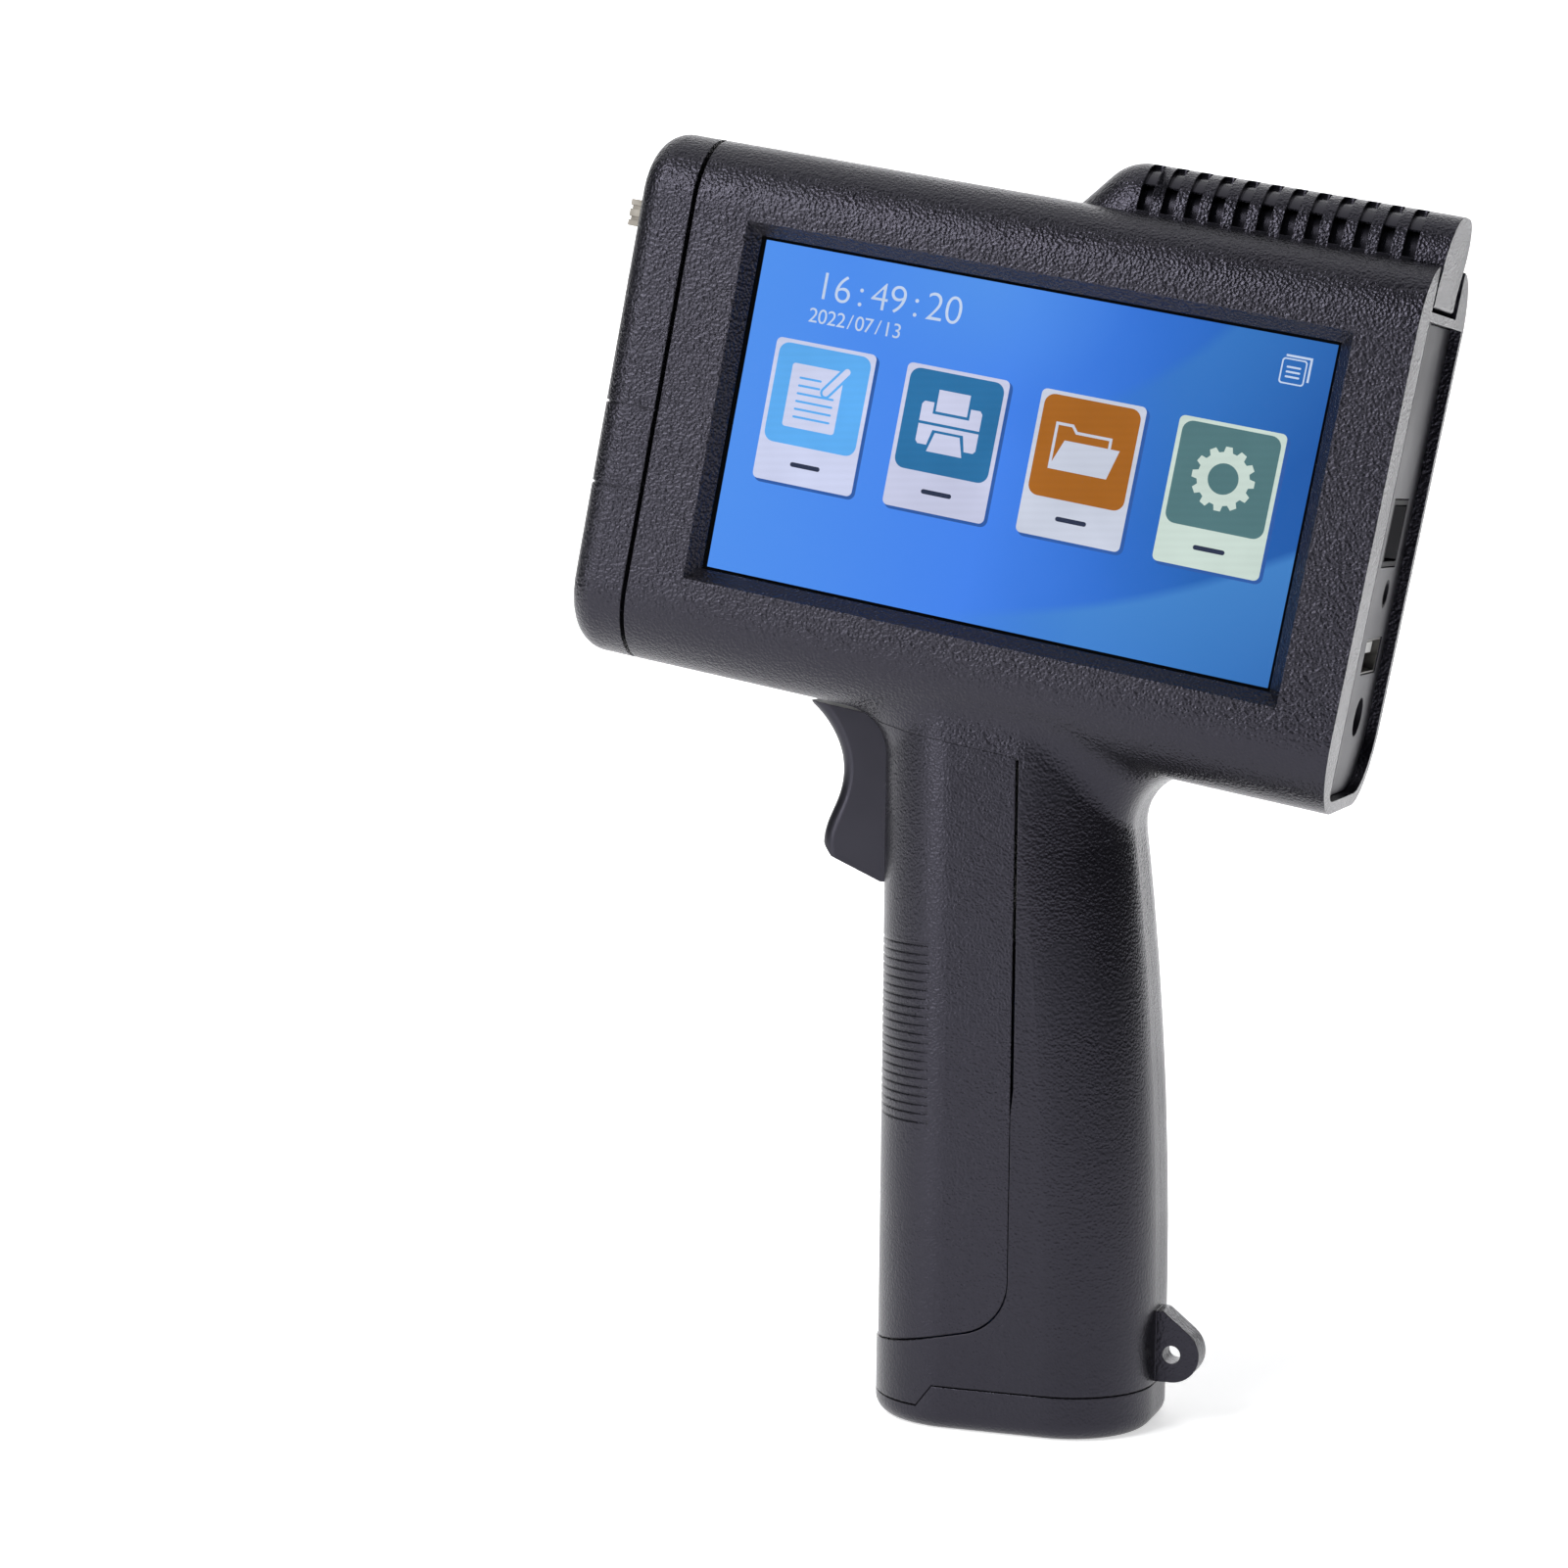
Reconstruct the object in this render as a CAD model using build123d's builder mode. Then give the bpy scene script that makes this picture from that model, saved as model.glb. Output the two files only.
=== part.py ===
"""Hand-held date code inkjet printer: a pistol grip under a slab-shaped head with a touch screen.

Frame: +Z up along the grip, +X toward the rear end with the ports, -Y toward the screen side.
The origin is the centre of the flat underside of the grip. The head is pitched nose-up.
All sizes are in millimetres.
"""
import os
from math import cos, radians, sin

from build123d import *

os.makedirs("parts", exist_ok=True)

# ---------------------------------------------------------------- driving dimensions
# Head, measured in its own pitched frame from the centre of the display
head_tilt = 10.5
display_x = 1.1
display_height = 158.0
head_front = -59.5
head_rear = 59.5
head_top = 41.7
head_bottom = -45.2
half_depth = 21.5
top_radius = 10.5
bottom_radius = 12.5
rear_shell_rise = 0.35
wall = 2.0
face_wall = 2.6
shell_gap = 0.05

# Grip
grip_front = -23.5
grip_rear = 23.5
grip_half_depth = 18.5
grip_corner = 15.0
grip_wall = 2.2
neck_radius = 8.0
base_round = 2.8
base_floor = 2.5
neck_line = head_bottom - 1.2

# Nose cap and its measuring wheel
nose_front = -70.5
nose_gap = 0.8
nose_round = 5.0
nose_rim_depth = 4.0
wheel_radius = 5.5
wheel_width = 4.3
wheel_x = -68.6
wheel_y = -12.0
wheel_z = 27.4
wheel_pin_radius = 1.0

# Screen: a 4.3 inch display under a touch glass
screen_width = 95.04
screen_height = 53.86
bezel_width = screen_width + 1.16
bezel_height = screen_height + 0.94
bezel_slope_width = 2.0
bezel_depth = 2.4
glass_width = 105.5
glass_height = 62.2
glass_thickness = 1.1
panel_thickness = 2.9

# Cartridge lid on the top rear
lid_front = -0.6
lid_crown = 49.9
lid_low = 38.0
lid_lean = 0.8
lid_slope_run = 6.8
lid_centre_y = -2.0
lid_width = 19.4
lid_round = 7.5
lid_wall = 2.6
lid_gap = 0.4
lid_tail_near = -11.2
lid_tail_far = 7.3
lid_slots = 12
lid_slot_first = 11.3
lid_slot_pitch = 3.88
lid_slot_width = 2.0
lid_slot_depth = 0.8
lid_slot_ridge = 3.0
lid_slot_low = head_top + 0.4
lid_pocket_depth = 1.8
lid_pocket_top = 46.3
tail_front = 54.5
tail_low = 35.15
tail_round = 0.6
bay_rear = 52.6
hinge_x = 58.0
hinge_z = 36.7
hinge_pin_radius = 0.8

# Print cartridge with its nozzles facing the nose
cartridge_front = -56.0
cartridge_rear = 4.0
cartridge_low = -25.0
cartridge_high = 31.5
cartridge_y = -0.9
cartridge_width = 23.6
snout_length = 13.4
snout_low = -21.8
snout_high = 1.4
snout_width = 15.0
swath_high = -3.5
swath_low = -17.0
cradle_wall = 1.2
cradle_clearance = 0.4

# Rear end: a recessed port panel between the shells
end_wall = 2.2
recess_depth = 1.7
recess_near = -12.5
recess_top = 33.0
bridge_top = 34.45
hinge_slot_near = -12.4
hinge_slot_far = 11.3
panel_plate = 1.5
port_board_x = 40.0
board_thickness = 1.6
switch_y = 6.9
switch_z = -0.5
switch_width = 12.8
switch_height = 11.2
rocker_tilt = 7.0
sensor_y = 10.0
sensor_z = -10.5
sensor_radius = 1.8
usb_y = 8.8
usb_z = -20.7
usb_width = 12.5
usb_height = 5.1
usb_wall = 0.3
power_y = 8.2
power_z = -30.8
power_radius = 3.2

# Trigger, hinged at its top inside the grip
trigger_half_width = 7.0
trigger_pin_x = -17.0
trigger_pin_z = 112.5
trigger_pin_radius = 1.25
trigger_bore_radius = 1.3
trigger_low = 88.3

# Grip cover and base cap
cover_seam_x = 2.5
cover_low_z = 8.9
cover_corner_z = 18.2
cover_corner_radius = 9.2
cover_inset = 0.25
seam_open = 0.6
seam_tight = 0.2
seam_step_z = 53.0
seam_open_top = 110.2
rib_count = 21
rib_pitch = 1.45
rib_first_z = 50.6
rib_end_x = -11.5
rib_groove_width = 0.55
rib_groove_depth = 0.35
cap_seam_front = 3.6
cap_seam_rear = 7.2
cap_step_x = -11.4
cap_rim_top = 9.2

# Lanyard lug
lug_x = 26.2
lug_z = 12.2
lug_radius = 4.6
lug_half_thickness = 2.6
lug_hole_radius = 1.5

# Battery: two cells side by side
cell_radius = 9.1
cell_spacing = 18.3
cell_length = 65.0
cell_x = -2.5
cell_low = 9.6
sleeve_wall = 0.25

# Shell screws, driven from the rear shell into posts on the screen-side shell
screw_radius = 1.3
screw_head_radius = 2.1
screw_length = 20.0
board_screw_radius = 1.0
screw_head_thickness = 1.8
near_post_radius = 2.4
far_post_radius = 3.0
head_screw_seat = 13.5
grip_screw_seat = 8.5
head_screws = [(-52.5, 36.3), (-8.0, 36.3), (-52.5, -38.7), (-20.0, -38.7), (26.0, -38.7), (50.5, -40.2)]
grip_screws = [(12.5, 88.0)]

# ---------------------------------------------------------------- frames
tilt = radians(head_tilt)
head_x = Vector(cos(tilt), 0, -sin(tilt))
head_z = Vector(sin(tilt), 0, cos(tilt))
head_origin = Vector(display_x, 0, display_height)


def head_point(x, y, z):
    """A point given in the head's own frame."""
    return head_origin + head_x * x + Vector(0, y, 0) + head_z * z


def side_plane(y):
    """Side view of the head at depth y: along the head, then head-up, facing the screen side."""
    return Plane(origin=head_point(0, y, 0), x_dir=head_x, z_dir=(0, -1, 0))


def end_plane(x):
    """End view of the head: depth, then head-up, facing the rear end."""
    return Plane(origin=head_point(x, 0, 0), x_dir=(0, 1, 0), z_dir=head_x)


def top_plane(z):
    """Plan view of the head: along the head, then depth, facing head-up."""
    return Plane(origin=head_point(0, 0, z), x_dir=head_x, z_dir=head_z)


def head_block(x0, x1, y0, y1, z0, z1, mode=Mode.ADD):
    """Adds a block in the head's frame to the open part, or cuts it."""
    centre = head_point((x0 + x1) / 2, (y0 + y1) / 2, (z0 + z1) / 2)
    with Locations(Plane(origin=centre, x_dir=head_x, z_dir=head_z)):
        Box(x1 - x0, y1 - y0, z1 - z0, mode=mode)


def grip_block(x0, x1, y0, y1, z0, z1, mode=Mode.ADD):
    """Adds a block in the upright frame of the grip to the open part, or cuts it."""
    with Locations(((x0 + x1) / 2, (y0 + y1) / 2, (z0 + z1) / 2)):
        Box(x1 - x0, y1 - y0, z1 - z0, mode=mode)


def depth_rod(x, z, radius, y0, y1, mode=Mode.ADD):
    """Adds a cylinder lying across the object at (x, z) to the open part, or cuts it."""
    with Locations(Location((x, (y0 + y1) / 2, z), (90, 0, 0))):
        Cylinder(radius, y1 - y0, mode=mode)


def head_depth_rod(x, z, radius, y0, y1, mode=Mode.ADD):
    """The same cylinder, placed by a position in the head's side view."""
    centre = head_point(x, 0, z)
    depth_rod(centre.X, centre.Z, radius, y0, y1, mode)


def end_rod(y, z, radius, x0, x1, mode=Mode.ADD):
    """Adds a cylinder running along the head to the open part, or cuts it."""
    with Locations(Plane(origin=head_point((x0 + x1) / 2, y, z), x_dir=(0, 1, 0), z_dir=head_x)):
        Cylinder(radius, x1 - x0, mode=mode)


def head_side(near, far=0):
    """Cuts away everything from depth near to depth far across the open part."""
    grip_block(-150, 150, min(near, far), max(near, far), -10, 300, mode=Mode.SUBTRACT)


def rounded_section(y0, y1, z0, z1, upper_radius, lower_radius):
    """A rounded rectangle with one radius on its upper corners and one on its lower corners."""
    with BuildSketch() as section:
        with Locations(((y0 + y1) / 2, (z0 + z1) / 2)):
            Rectangle(y1 - y0, z1 - z0)
        fillet(section.vertices().group_by(Axis.Y)[-1], upper_radius)
        fillet(section.vertices().group_by(Axis.Y)[0], lower_radius)
    return section.sketch


def head_section(inset, top):
    """Outer end view of the head, moved in by inset on every side."""
    return rounded_section(
        inset - half_depth, half_depth - inset, head_bottom + inset, top - inset,
        top_radius - inset, bottom_radius - inset,
    )


def cavity_section(clearance):
    """Inner end view of the head, moved in by clearance on every side."""
    return rounded_section(
        face_wall - half_depth + clearance, half_depth - wall - clearance,
        head_bottom + wall + clearance, head_top - wall - clearance,
        top_radius - wall - clearance, bottom_radius - wall - clearance,
    )


def grip_solid(inset, bottom, top):
    """The grip as an upright rounded bar whose rear edge bows in toward the head."""
    rear_low = grip_rear - inset
    with BuildPart() as bar:
        with BuildSketch(Plane.XZ):
            with BuildLine():
                upper = Polyline(
                    (18.8 - inset, 97), (16.4 - inset, top), (grip_front + inset, top),
                    (grip_front + inset, bottom), (rear_low, bottom), (rear_low, 12),
                )
                ThreePointArc(upper @ 1, (22.7 - inset, 53), upper @ 0)
            make_face()
        extrude(amount=grip_half_depth - inset, both=True)
        side_faces = bar.faces().filter_by(Axis.Y)
        upright = side_faces.edges().filter_by(lambda edge: abs(edge.tangent_at(0.5).Z) > 0.9)
        fillet(upright, grip_corner - inset)
    return bar.part


def neck_edge(edge):
    """True for the curved edges where the grip runs into the underside of the head."""
    centre = edge.center()
    return edge.geom_type != GeomType.LINE and 100 < centre.Z < 128 and abs(centre.X) < 30


def outer_body(top, inset):
    """The closed outside shape of head and grip, blended at the neck, with the grip moved in by inset."""
    with BuildPart() as body:
        add(grip_solid(inset, 0, 126))
        fillet(body.faces().sort_by(Axis.Z)[0].edges(), base_round)
        with BuildSketch(end_plane(head_rear)):
            add(head_section(0, top))
        extrude(amount=head_front - head_rear)
        fillet(body.edges().filter_by(neck_edge), neck_radius + 1.5 * inset)
    return body.part


def port_outline(clearance):
    """End view of the opening that shows the port panel, moved in by clearance."""
    with BuildSketch() as outline:
        add(cavity_section(clearance))
        with Locations((recess_near + clearance, recess_top - clearance)):
            Rectangle(60, 100, align=(Align.MIN, Align.MAX), mode=Mode.INTERSECT)
        fillet(outline.vertices().group_by(Axis.X)[0].sort_by(Axis.Y)[0], 2)
    return outline.sketch


def base_block(lift):
    """The region below the stepped seam of the base cap, with the seam raised by lift."""
    with BuildPart() as block:
        with BuildSketch(Plane.XZ):
            with BuildLine():
                Polyline(
                    (-40, -5), (40, -5), (40, cap_seam_rear + lift), (cap_step_x + 1.4, cap_seam_rear + lift),
                    (cap_step_x - 1.4, cap_seam_front + lift), (-40, cap_seam_front + lift), close=True,
                )
            make_face()
        extrude(amount=30, both=True)
    return block.part


def cover_block(open_gap, tight_gap):
    """The front region of the grip that the grip cover fills, widened by its seam."""
    open_x = cover_seam_x + open_gap
    tight_x = cover_seam_x + tight_gap
    with BuildPart() as block:
        with BuildSketch(Plane.XZ):
            with BuildLine():
                Polyline(
                    (-40, cover_low_z - tight_gap), (tight_x, cover_corner_z - tight_gap),
                    (tight_x, seam_step_z), (open_x, seam_step_z + 4), (open_x, seam_open_top),
                    (tight_x, seam_open_top + 0.01), (tight_x, 130), (-40, 130), close=True,
                )
            make_face()
        extrude(amount=30, both=True)
        corner = block.edges().filter_by(Axis.Y).sort_by_distance((tight_x, 0, cover_corner_z))[0]
        fillet(corner, cover_corner_radius)
        head_block(-90, 90, -31, 31, neck_line + tight_gap / 4, 90, mode=Mode.SUBTRACT)
    return block.part


def nose_solid(inset, top, extra):
    """The nose cap as a closed shape, moved in by inset and lengthened rearward by extra."""
    with BuildPart() as nose:
        with BuildSketch(end_plane(nose_front + inset)):
            add(head_section(inset, top))
        extrude(amount=head_front - nose_gap - nose_front - inset + extra)
        fillet(nose.faces().sort_by(Axis(head_origin, head_x))[0].edges(), nose_round - inset)
    return nose.part


def lid_hump(inset, low):
    """The humped top of the lid, from height low up, with its long edges rounded."""
    with BuildPart() as hump:
        with BuildSketch(side_plane(lid_far - inset)):
            with BuildLine():
                Polyline(
                    (lid_front + 1.3 * inset, low), (lid_front + 1.3 * inset, head_top),
                    (lid_front + lid_slope_run + 0.5 * inset, lid_crown - inset),
                    (head_rear + lid_lean - inset, lid_crown - inset), (head_rear - inset, low), close=True,
                )
            make_face()
        extrude(amount=lid_width - 2 * inset)
        across = hump.edges().filter_by(Axis.Y)
        fillet(across.sort_by_distance(head_point(lid_front + lid_slope_run, lid_centre_y, lid_crown))[0], 8 - inset)
        crown = hump.faces().sort_by(Axis(head_origin, head_z))[-1]
        fillet(crown.edges().filter_by(Axis(head_origin, head_x)), lid_round - inset)
    return hump.part


def slot_row(top):
    """Cutters for the lid's slots on both sides of the crown, up to height top, with round upper ends."""
    reach = 15
    with BuildPart() as row:
        with BuildSketch(top_plane(lid_slot_low)):
            for slot in range(lid_slots):
                for side in (-1, 1):
                    middle_y = lid_centre_y + side * (lid_slot_ridge + reach / 2)
                    with Locations((lid_slot_first + slot * lid_slot_pitch, middle_y)):
                        SlotOverall(reach, lid_slot_width, rotation=90)
        extrude(amount=top - lid_slot_low)
    return row.part


# ---------------------------------------------------------------- shared shapes
cavity_outline = cavity_section(0)
rim_outline = cavity_section(0.15)
rim_inner_outline = cavity_section(1.35)
web_outline = head_section(1.0, head_top)
opening_outline = port_outline(0)
panel_outline = port_outline(0.15)

near_body = outer_body(head_top, 0)
far_body = outer_body(head_top + rear_shell_rise, 0)
cover_body = outer_body(head_top, cover_inset)
groove_core = outer_body(head_top, cover_inset + rib_groove_depth)
grip_hollow = grip_solid(grip_wall, base_floor, 124)
cap_rim_outer = grip_solid(grip_wall + 0.15, base_floor, 124)
cap_rim_inner = grip_solid(grip_wall + 1.35, 1, 124)
cap_region = base_block(0)
cap_clearance = base_block(0.25)
cover_region = cover_block(0, 0)
cover_clearance = cover_block(seam_open, seam_tight)
nose_outer = nose_solid(0, head_top, 0)
nose_high = nose_solid(0, head_top + rear_shell_rise, 0)
nose_inner = nose_solid(wall, head_top, 1)
nose_core = nose_solid(0.35, head_top, 1)

lid_near = lid_centre_y - lid_width / 2
lid_far = lid_centre_y + lid_width / 2
glass_front = face_wall - half_depth
cartridge_near = cartridge_y - cartridge_width / 2
cartridge_far = cartridge_y + cartridge_width / 2
board_near = cartridge_far + cradle_clearance + cradle_wall + 1.1
board_far = board_near + board_thickness
port_face = head_rear - recess_depth
trigger_slot_half = trigger_half_width + 0.35

screw_places = [(head_point(x, 0, z).X, head_point(x, 0, z).Z, head_screw_seat) for x, z in head_screws]
screw_places += [(x, z, grip_screw_seat) for x, z in grip_screws]
board_holes = [(x, z) for x in (-46, 32) for z in (-30.5, 29)]

# Slot in the front of the grip for the trigger, up to the underside of the head
with BuildPart() as trigger_slot:
    grip_block(-45, -12, -trigger_slot_half, trigger_slot_half, trigger_low - 1.2, 130)
    head_block(-90, 90, -31, 31, head_bottom, 90, mode=Mode.SUBTRACT)

# Everything cut away from both shells: the hollow, the openings and the neighbours' seats
with BuildPart() as shell_cuts:
    with BuildSketch(end_plane(head_front - 1)):
        add(cavity_outline)
    extrude(amount=head_rear - end_wall - head_front + 1)
    head_block(bay_rear, 62, -31, 31, recess_top + 0.01, 50, mode=Mode.SUBTRACT)
    add(grip_hollow)
    add(cap_clearance)
    add(cover_clearance)
    add(trigger_slot.part)
    head_block(lid_front - lid_gap, bay_rear + 0.1, lid_near - lid_gap, lid_far + lid_gap, 36, 55)
    head_block(bay_rear, 65, hinge_slot_near, hinge_slot_far, bridge_top, 55)
    head_depth_rod(hinge_x, hinge_z, hinge_pin_radius, -15.5, 14.5)
    with BuildSketch(end_plane(head_rear - end_wall - 1)):
        add(opening_outline)
    extrude(amount=10)

# Lanyard lug, one half of it on each shell
with BuildPart() as lug:
    with BuildSketch(Plane.XZ):
        with BuildLine():
            Polyline(
                (22.2, lug_z - lug_radius), (lug_x, lug_z - lug_radius), (lug_x + 3, lug_z + 3.55),
                (lug_x - 1.4, lug_z + 7.1), (22.2, lug_z + 7.1), close=True,
            )
        make_face()
        with Locations((lug_x, lug_z)):
            Circle(lug_radius)
            Circle(lug_hole_radius, mode=Mode.SUBTRACT)
    extrude(amount=lug_half_thickness, both=True)

# ---------------------------------------------------------------- shells
# Posts on the screen-side shell that take the shell screws
with BuildPart() as front_posts:
    for x, z, seat in screw_places:
        depth_rod(x, z, near_post_radius, -half_depth, -0.2)
    add(near_body, mode=Mode.INTERSECT)

# Screen-side half of head and grip, with the sloped screen recess
with BuildPart() as front_shell:
    add(near_body)
    add(lug.part)
    add(shell_cuts.part, mode=Mode.SUBTRACT)
    add(front_posts.part)
    head_side(-shell_gap / 2, 60)
    with BuildSketch(side_plane(-half_depth)):
        Rectangle(bezel_width + 2 * bezel_slope_width, bezel_height + 2 * bezel_slope_width)
    with BuildSketch(side_plane(bezel_depth - half_depth)):
        Rectangle(bezel_width, bezel_height)
    loft(mode=Mode.SUBTRACT)
    with BuildSketch(side_plane(bezel_depth - half_depth)):
        Rectangle(bezel_width, bezel_height)
    extrude(amount=-2, mode=Mode.SUBTRACT)
    for x, z, seat in screw_places:
        depth_rod(x, z, screw_radius, seat - screw_length - 0.5, 1, mode=Mode.SUBTRACT)
front_shell.part.label = "front_shell"
export_step(front_shell.part, "parts/front_shell.step")

# Counterbored posts on the far shell, and the posts that carry the main board
with BuildPart() as rear_posts:
    for x, z, seat in screw_places:
        depth_rod(x, z, far_post_radius, 0.2, half_depth)
    for x, z in board_holes:
        head_depth_rod(x, z, near_post_radius, board_far, half_depth)
    add(far_body, mode=Mode.INTERSECT)

# Far half of head and grip
with BuildPart() as rear_shell:
    add(far_body)
    add(lug.part)
    add(shell_cuts.part, mode=Mode.SUBTRACT)
    add(rear_posts.part)
    head_side(-60, shell_gap / 2)
    for x, z, seat in screw_places:
        depth_rod(x, z, screw_radius + 0.15, 0, seat, mode=Mode.SUBTRACT)
        depth_rod(x, z, screw_head_radius + 0.2, seat, 30, mode=Mode.SUBTRACT)
    for x, z in board_holes:
        head_depth_rod(x, z, board_screw_radius, board_near, half_depth - wall, mode=Mode.SUBTRACT)
rear_shell.part.label = "rear_shell"
export_step(rear_shell.part, "parts/rear_shell.step")

# Self-tapping screws that clamp the two shells
with BuildPart() as shell_screws:
    for x, z, seat in screw_places:
        depth_rod(x, z, screw_radius, seat - screw_length, seat)
        depth_rod(x, z, screw_head_radius, seat, seat + screw_head_thickness)
        depth_rod(x, z, 0.8, seat + screw_head_thickness - 1, seat + 3, mode=Mode.SUBTRACT)
shell_screws.part.label = "shell_screws"
export_step(shell_screws.part, "parts/shell_screws.step")

# ---------------------------------------------------------------- grip
# Finger grooves: thin slices of the space just outside a slightly smaller grip
with BuildPart() as groove_cutter:
    for rib in range(rib_count):
        height = rib_first_z + rib * rib_pitch
        grip_block(-30, rib_end_x, -25, 25, height - rib_groove_width / 2, height + rib_groove_width / 2)
    add(groove_core, mode=Mode.SUBTRACT)

# Front cover of the grip with its finger grooves and the trigger slot
with BuildPart() as grip_cover:
    add(cover_body)
    add(cover_region, mode=Mode.INTERSECT)
    add(grip_hollow, mode=Mode.SUBTRACT)
    add(trigger_slot.part, mode=Mode.SUBTRACT)
    add(groove_cutter.part, mode=Mode.SUBTRACT)
grip_cover.part.label = "grip_cover"
export_step(grip_cover.part, "parts/grip_cover.step")

# Locating rim of the base cap that plugs into the grip
with BuildPart() as cap_rim:
    add(cap_rim_outer)
    add(cap_rim_inner, mode=Mode.SUBTRACT)
    grip_block(-40, 40, -30, 30, cap_rim_top, 130, mode=Mode.SUBTRACT)

# Base cap that closes the battery well
with BuildPart() as base_cap:
    add(near_body)
    add(cap_region, mode=Mode.INTERSECT)
    add(grip_hollow, mode=Mode.SUBTRACT)
    add(cap_rim.part)
base_cap.part.label = "base_cap"
export_step(base_cap.part, "parts/base_cap.step")

# ---------------------------------------------------------------- nose
# The thin outer skin of the nose cap, used to cut the swath marks
with BuildPart() as nose_marks:
    for mark in (swath_high, swath_low):
        head_block(-75, head_front - nose_gap, -25, 25, mark - 0.2, mark + 0.2)
    add(nose_core, mode=Mode.SUBTRACT)

# The far half of the nose cap stands as high as the far shell
with BuildPart() as nose_far_half:
    add(nose_high)
    head_side(-60, 0)

# Nose cap with the print window, the wheel slot, the swath marks and a rim that plugs into the shells
with BuildPart() as nose_cap:
    add(nose_outer)
    add(nose_far_half.part)
    add(nose_inner, mode=Mode.SUBTRACT)
    with BuildSketch(end_plane(head_front - nose_gap - 1.7)):
        add(web_outline)
        add(rim_inner_outline, mode=Mode.SUBTRACT)
    extrude(amount=1.7)
    with BuildSketch(end_plane(head_front - nose_gap)):
        add(rim_outline)
        add(rim_inner_outline, mode=Mode.SUBTRACT)
    extrude(amount=nose_rim_depth)
    add(nose_marks.part, mode=Mode.SUBTRACT)
    for low in (wheel_z - wheel_width / 2 - 2.1, wheel_z + wheel_width / 2 + 0.3):
        head_block(wheel_x - 1.5, wheel_x + 2.2, wheel_y - 2.2, wheel_y + 2.2, low, low + 1.8)
    head_block(
        nose_front - 1, nose_front + wall + 0.5, cartridge_y - snout_width / 2 - 0.7,
        cartridge_y + snout_width / 2 + 0.7, snout_low - 0.8, snout_high + 0.8, mode=Mode.SUBTRACT,
    )
    head_block(
        nose_front - 1, nose_front + wall + 1, wheel_y - wheel_radius - 0.4, wheel_y + wheel_radius + 0.4,
        wheel_z - wheel_width / 2 - 0.3, wheel_z + wheel_width / 2 + 0.3, mode=Mode.SUBTRACT,
    )
    with Locations(Plane(origin=head_point(wheel_x, wheel_y, wheel_z), x_dir=head_x, z_dir=head_z)):
        Cylinder(wheel_pin_radius, wheel_width + 4.2, mode=Mode.SUBTRACT)
nose_cap.part.label = "nose_cap"
export_step(nose_cap.part, "parts/nose_cap.step")

# Measuring wheel that rolls on the goods, with two grooves around its rim
with BuildPart() as measuring_wheel:
    with Locations(Plane(origin=head_point(wheel_x, wheel_y, wheel_z), x_dir=head_x, z_dir=head_z)):
        Cylinder(wheel_radius, wheel_width)
        Cylinder(wheel_pin_radius + 0.05, wheel_width, mode=Mode.SUBTRACT)
    for height in (-0.9, 0.9):
        with BuildSketch(top_plane(wheel_z + height - 0.3)):
            with Locations((wheel_x, wheel_y)):
                Circle(wheel_radius + 1)
                Circle(wheel_radius - 0.35, mode=Mode.SUBTRACT)
        extrude(amount=0.6, mode=Mode.SUBTRACT)
measuring_wheel.part.label = "measuring_wheel"
export_step(measuring_wheel.part, "parts/measuring_wheel.step")

# Steel pin of the measuring wheel
with BuildPart() as wheel_pin:
    with Locations(Plane(origin=head_point(wheel_x, wheel_y, wheel_z), x_dir=head_x, z_dir=head_z)):
        Cylinder(wheel_pin_radius, wheel_width + 4.2)
wheel_pin.part.label = "wheel_pin"
export_step(wheel_pin.part, "parts/wheel_pin.step")

# ---------------------------------------------------------------- cartridge lid
# The hollow underside of the lid
with BuildPart() as lid_void:
    add(lid_hump(lid_wall, 30))
    head_block(tail_front - 0.5, 70, -30, 30, 20, 60, mode=Mode.SUBTRACT)

# Upper level of the slots: shallow, and curved like the lid
with BuildPart() as lid_slot_cuts:
    add(slot_row(55))
    add(lid_hump(lid_slot_depth, 30), mode=Mode.SUBTRACT)

# Lower level of the slots: deeper pockets under a ledge
with BuildPart() as lid_pocket_cuts:
    add(slot_row(lid_pocket_top))
    add(lid_hump(lid_pocket_depth, 30), mode=Mode.SUBTRACT)

# Tail of the lid that takes the hinge pin
with BuildPart() as lid_tail:
    head_block(tail_front, head_rear, lid_tail_near, lid_tail_far, tail_low, lid_low + 1)
    lower_edges = lid_tail.edges().filter_by(Axis.Y).group_by(Axis(head_origin, head_z))[0]
    fillet(lower_edges, tail_round)

# Humped lid over the cartridge bay, hinged at the rear end by a narrower tail
with BuildPart() as cartridge_lid:
    add(lid_hump(0, lid_low))
    add(lid_tail.part)
    add(lid_void.part, mode=Mode.SUBTRACT)
    add(lid_slot_cuts.part, mode=Mode.SUBTRACT)
    add(lid_pocket_cuts.part, mode=Mode.SUBTRACT)
    head_block(tail_front, 65, lid_near - 1, lid_tail_near, 30, head_top, mode=Mode.SUBTRACT)
    head_block(tail_front, 65, lid_tail_far, lid_far + 1, 30, head_top, mode=Mode.SUBTRACT)
    head_depth_rod(hinge_x, hinge_z, hinge_pin_radius + 0.05, -15, 14, mode=Mode.SUBTRACT)
cartridge_lid.part.label = "cartridge_lid"
export_step(cartridge_lid.part, "parts/cartridge_lid.step")

# Steel hinge pin of the lid
with BuildPart() as lid_hinge_pin:
    head_depth_rod(hinge_x, hinge_z, hinge_pin_radius, -15.5, 14.5)
lid_hinge_pin.part.label = "lid_hinge_pin"
export_step(lid_hinge_pin.part, "parts/lid_hinge_pin.step")

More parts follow.
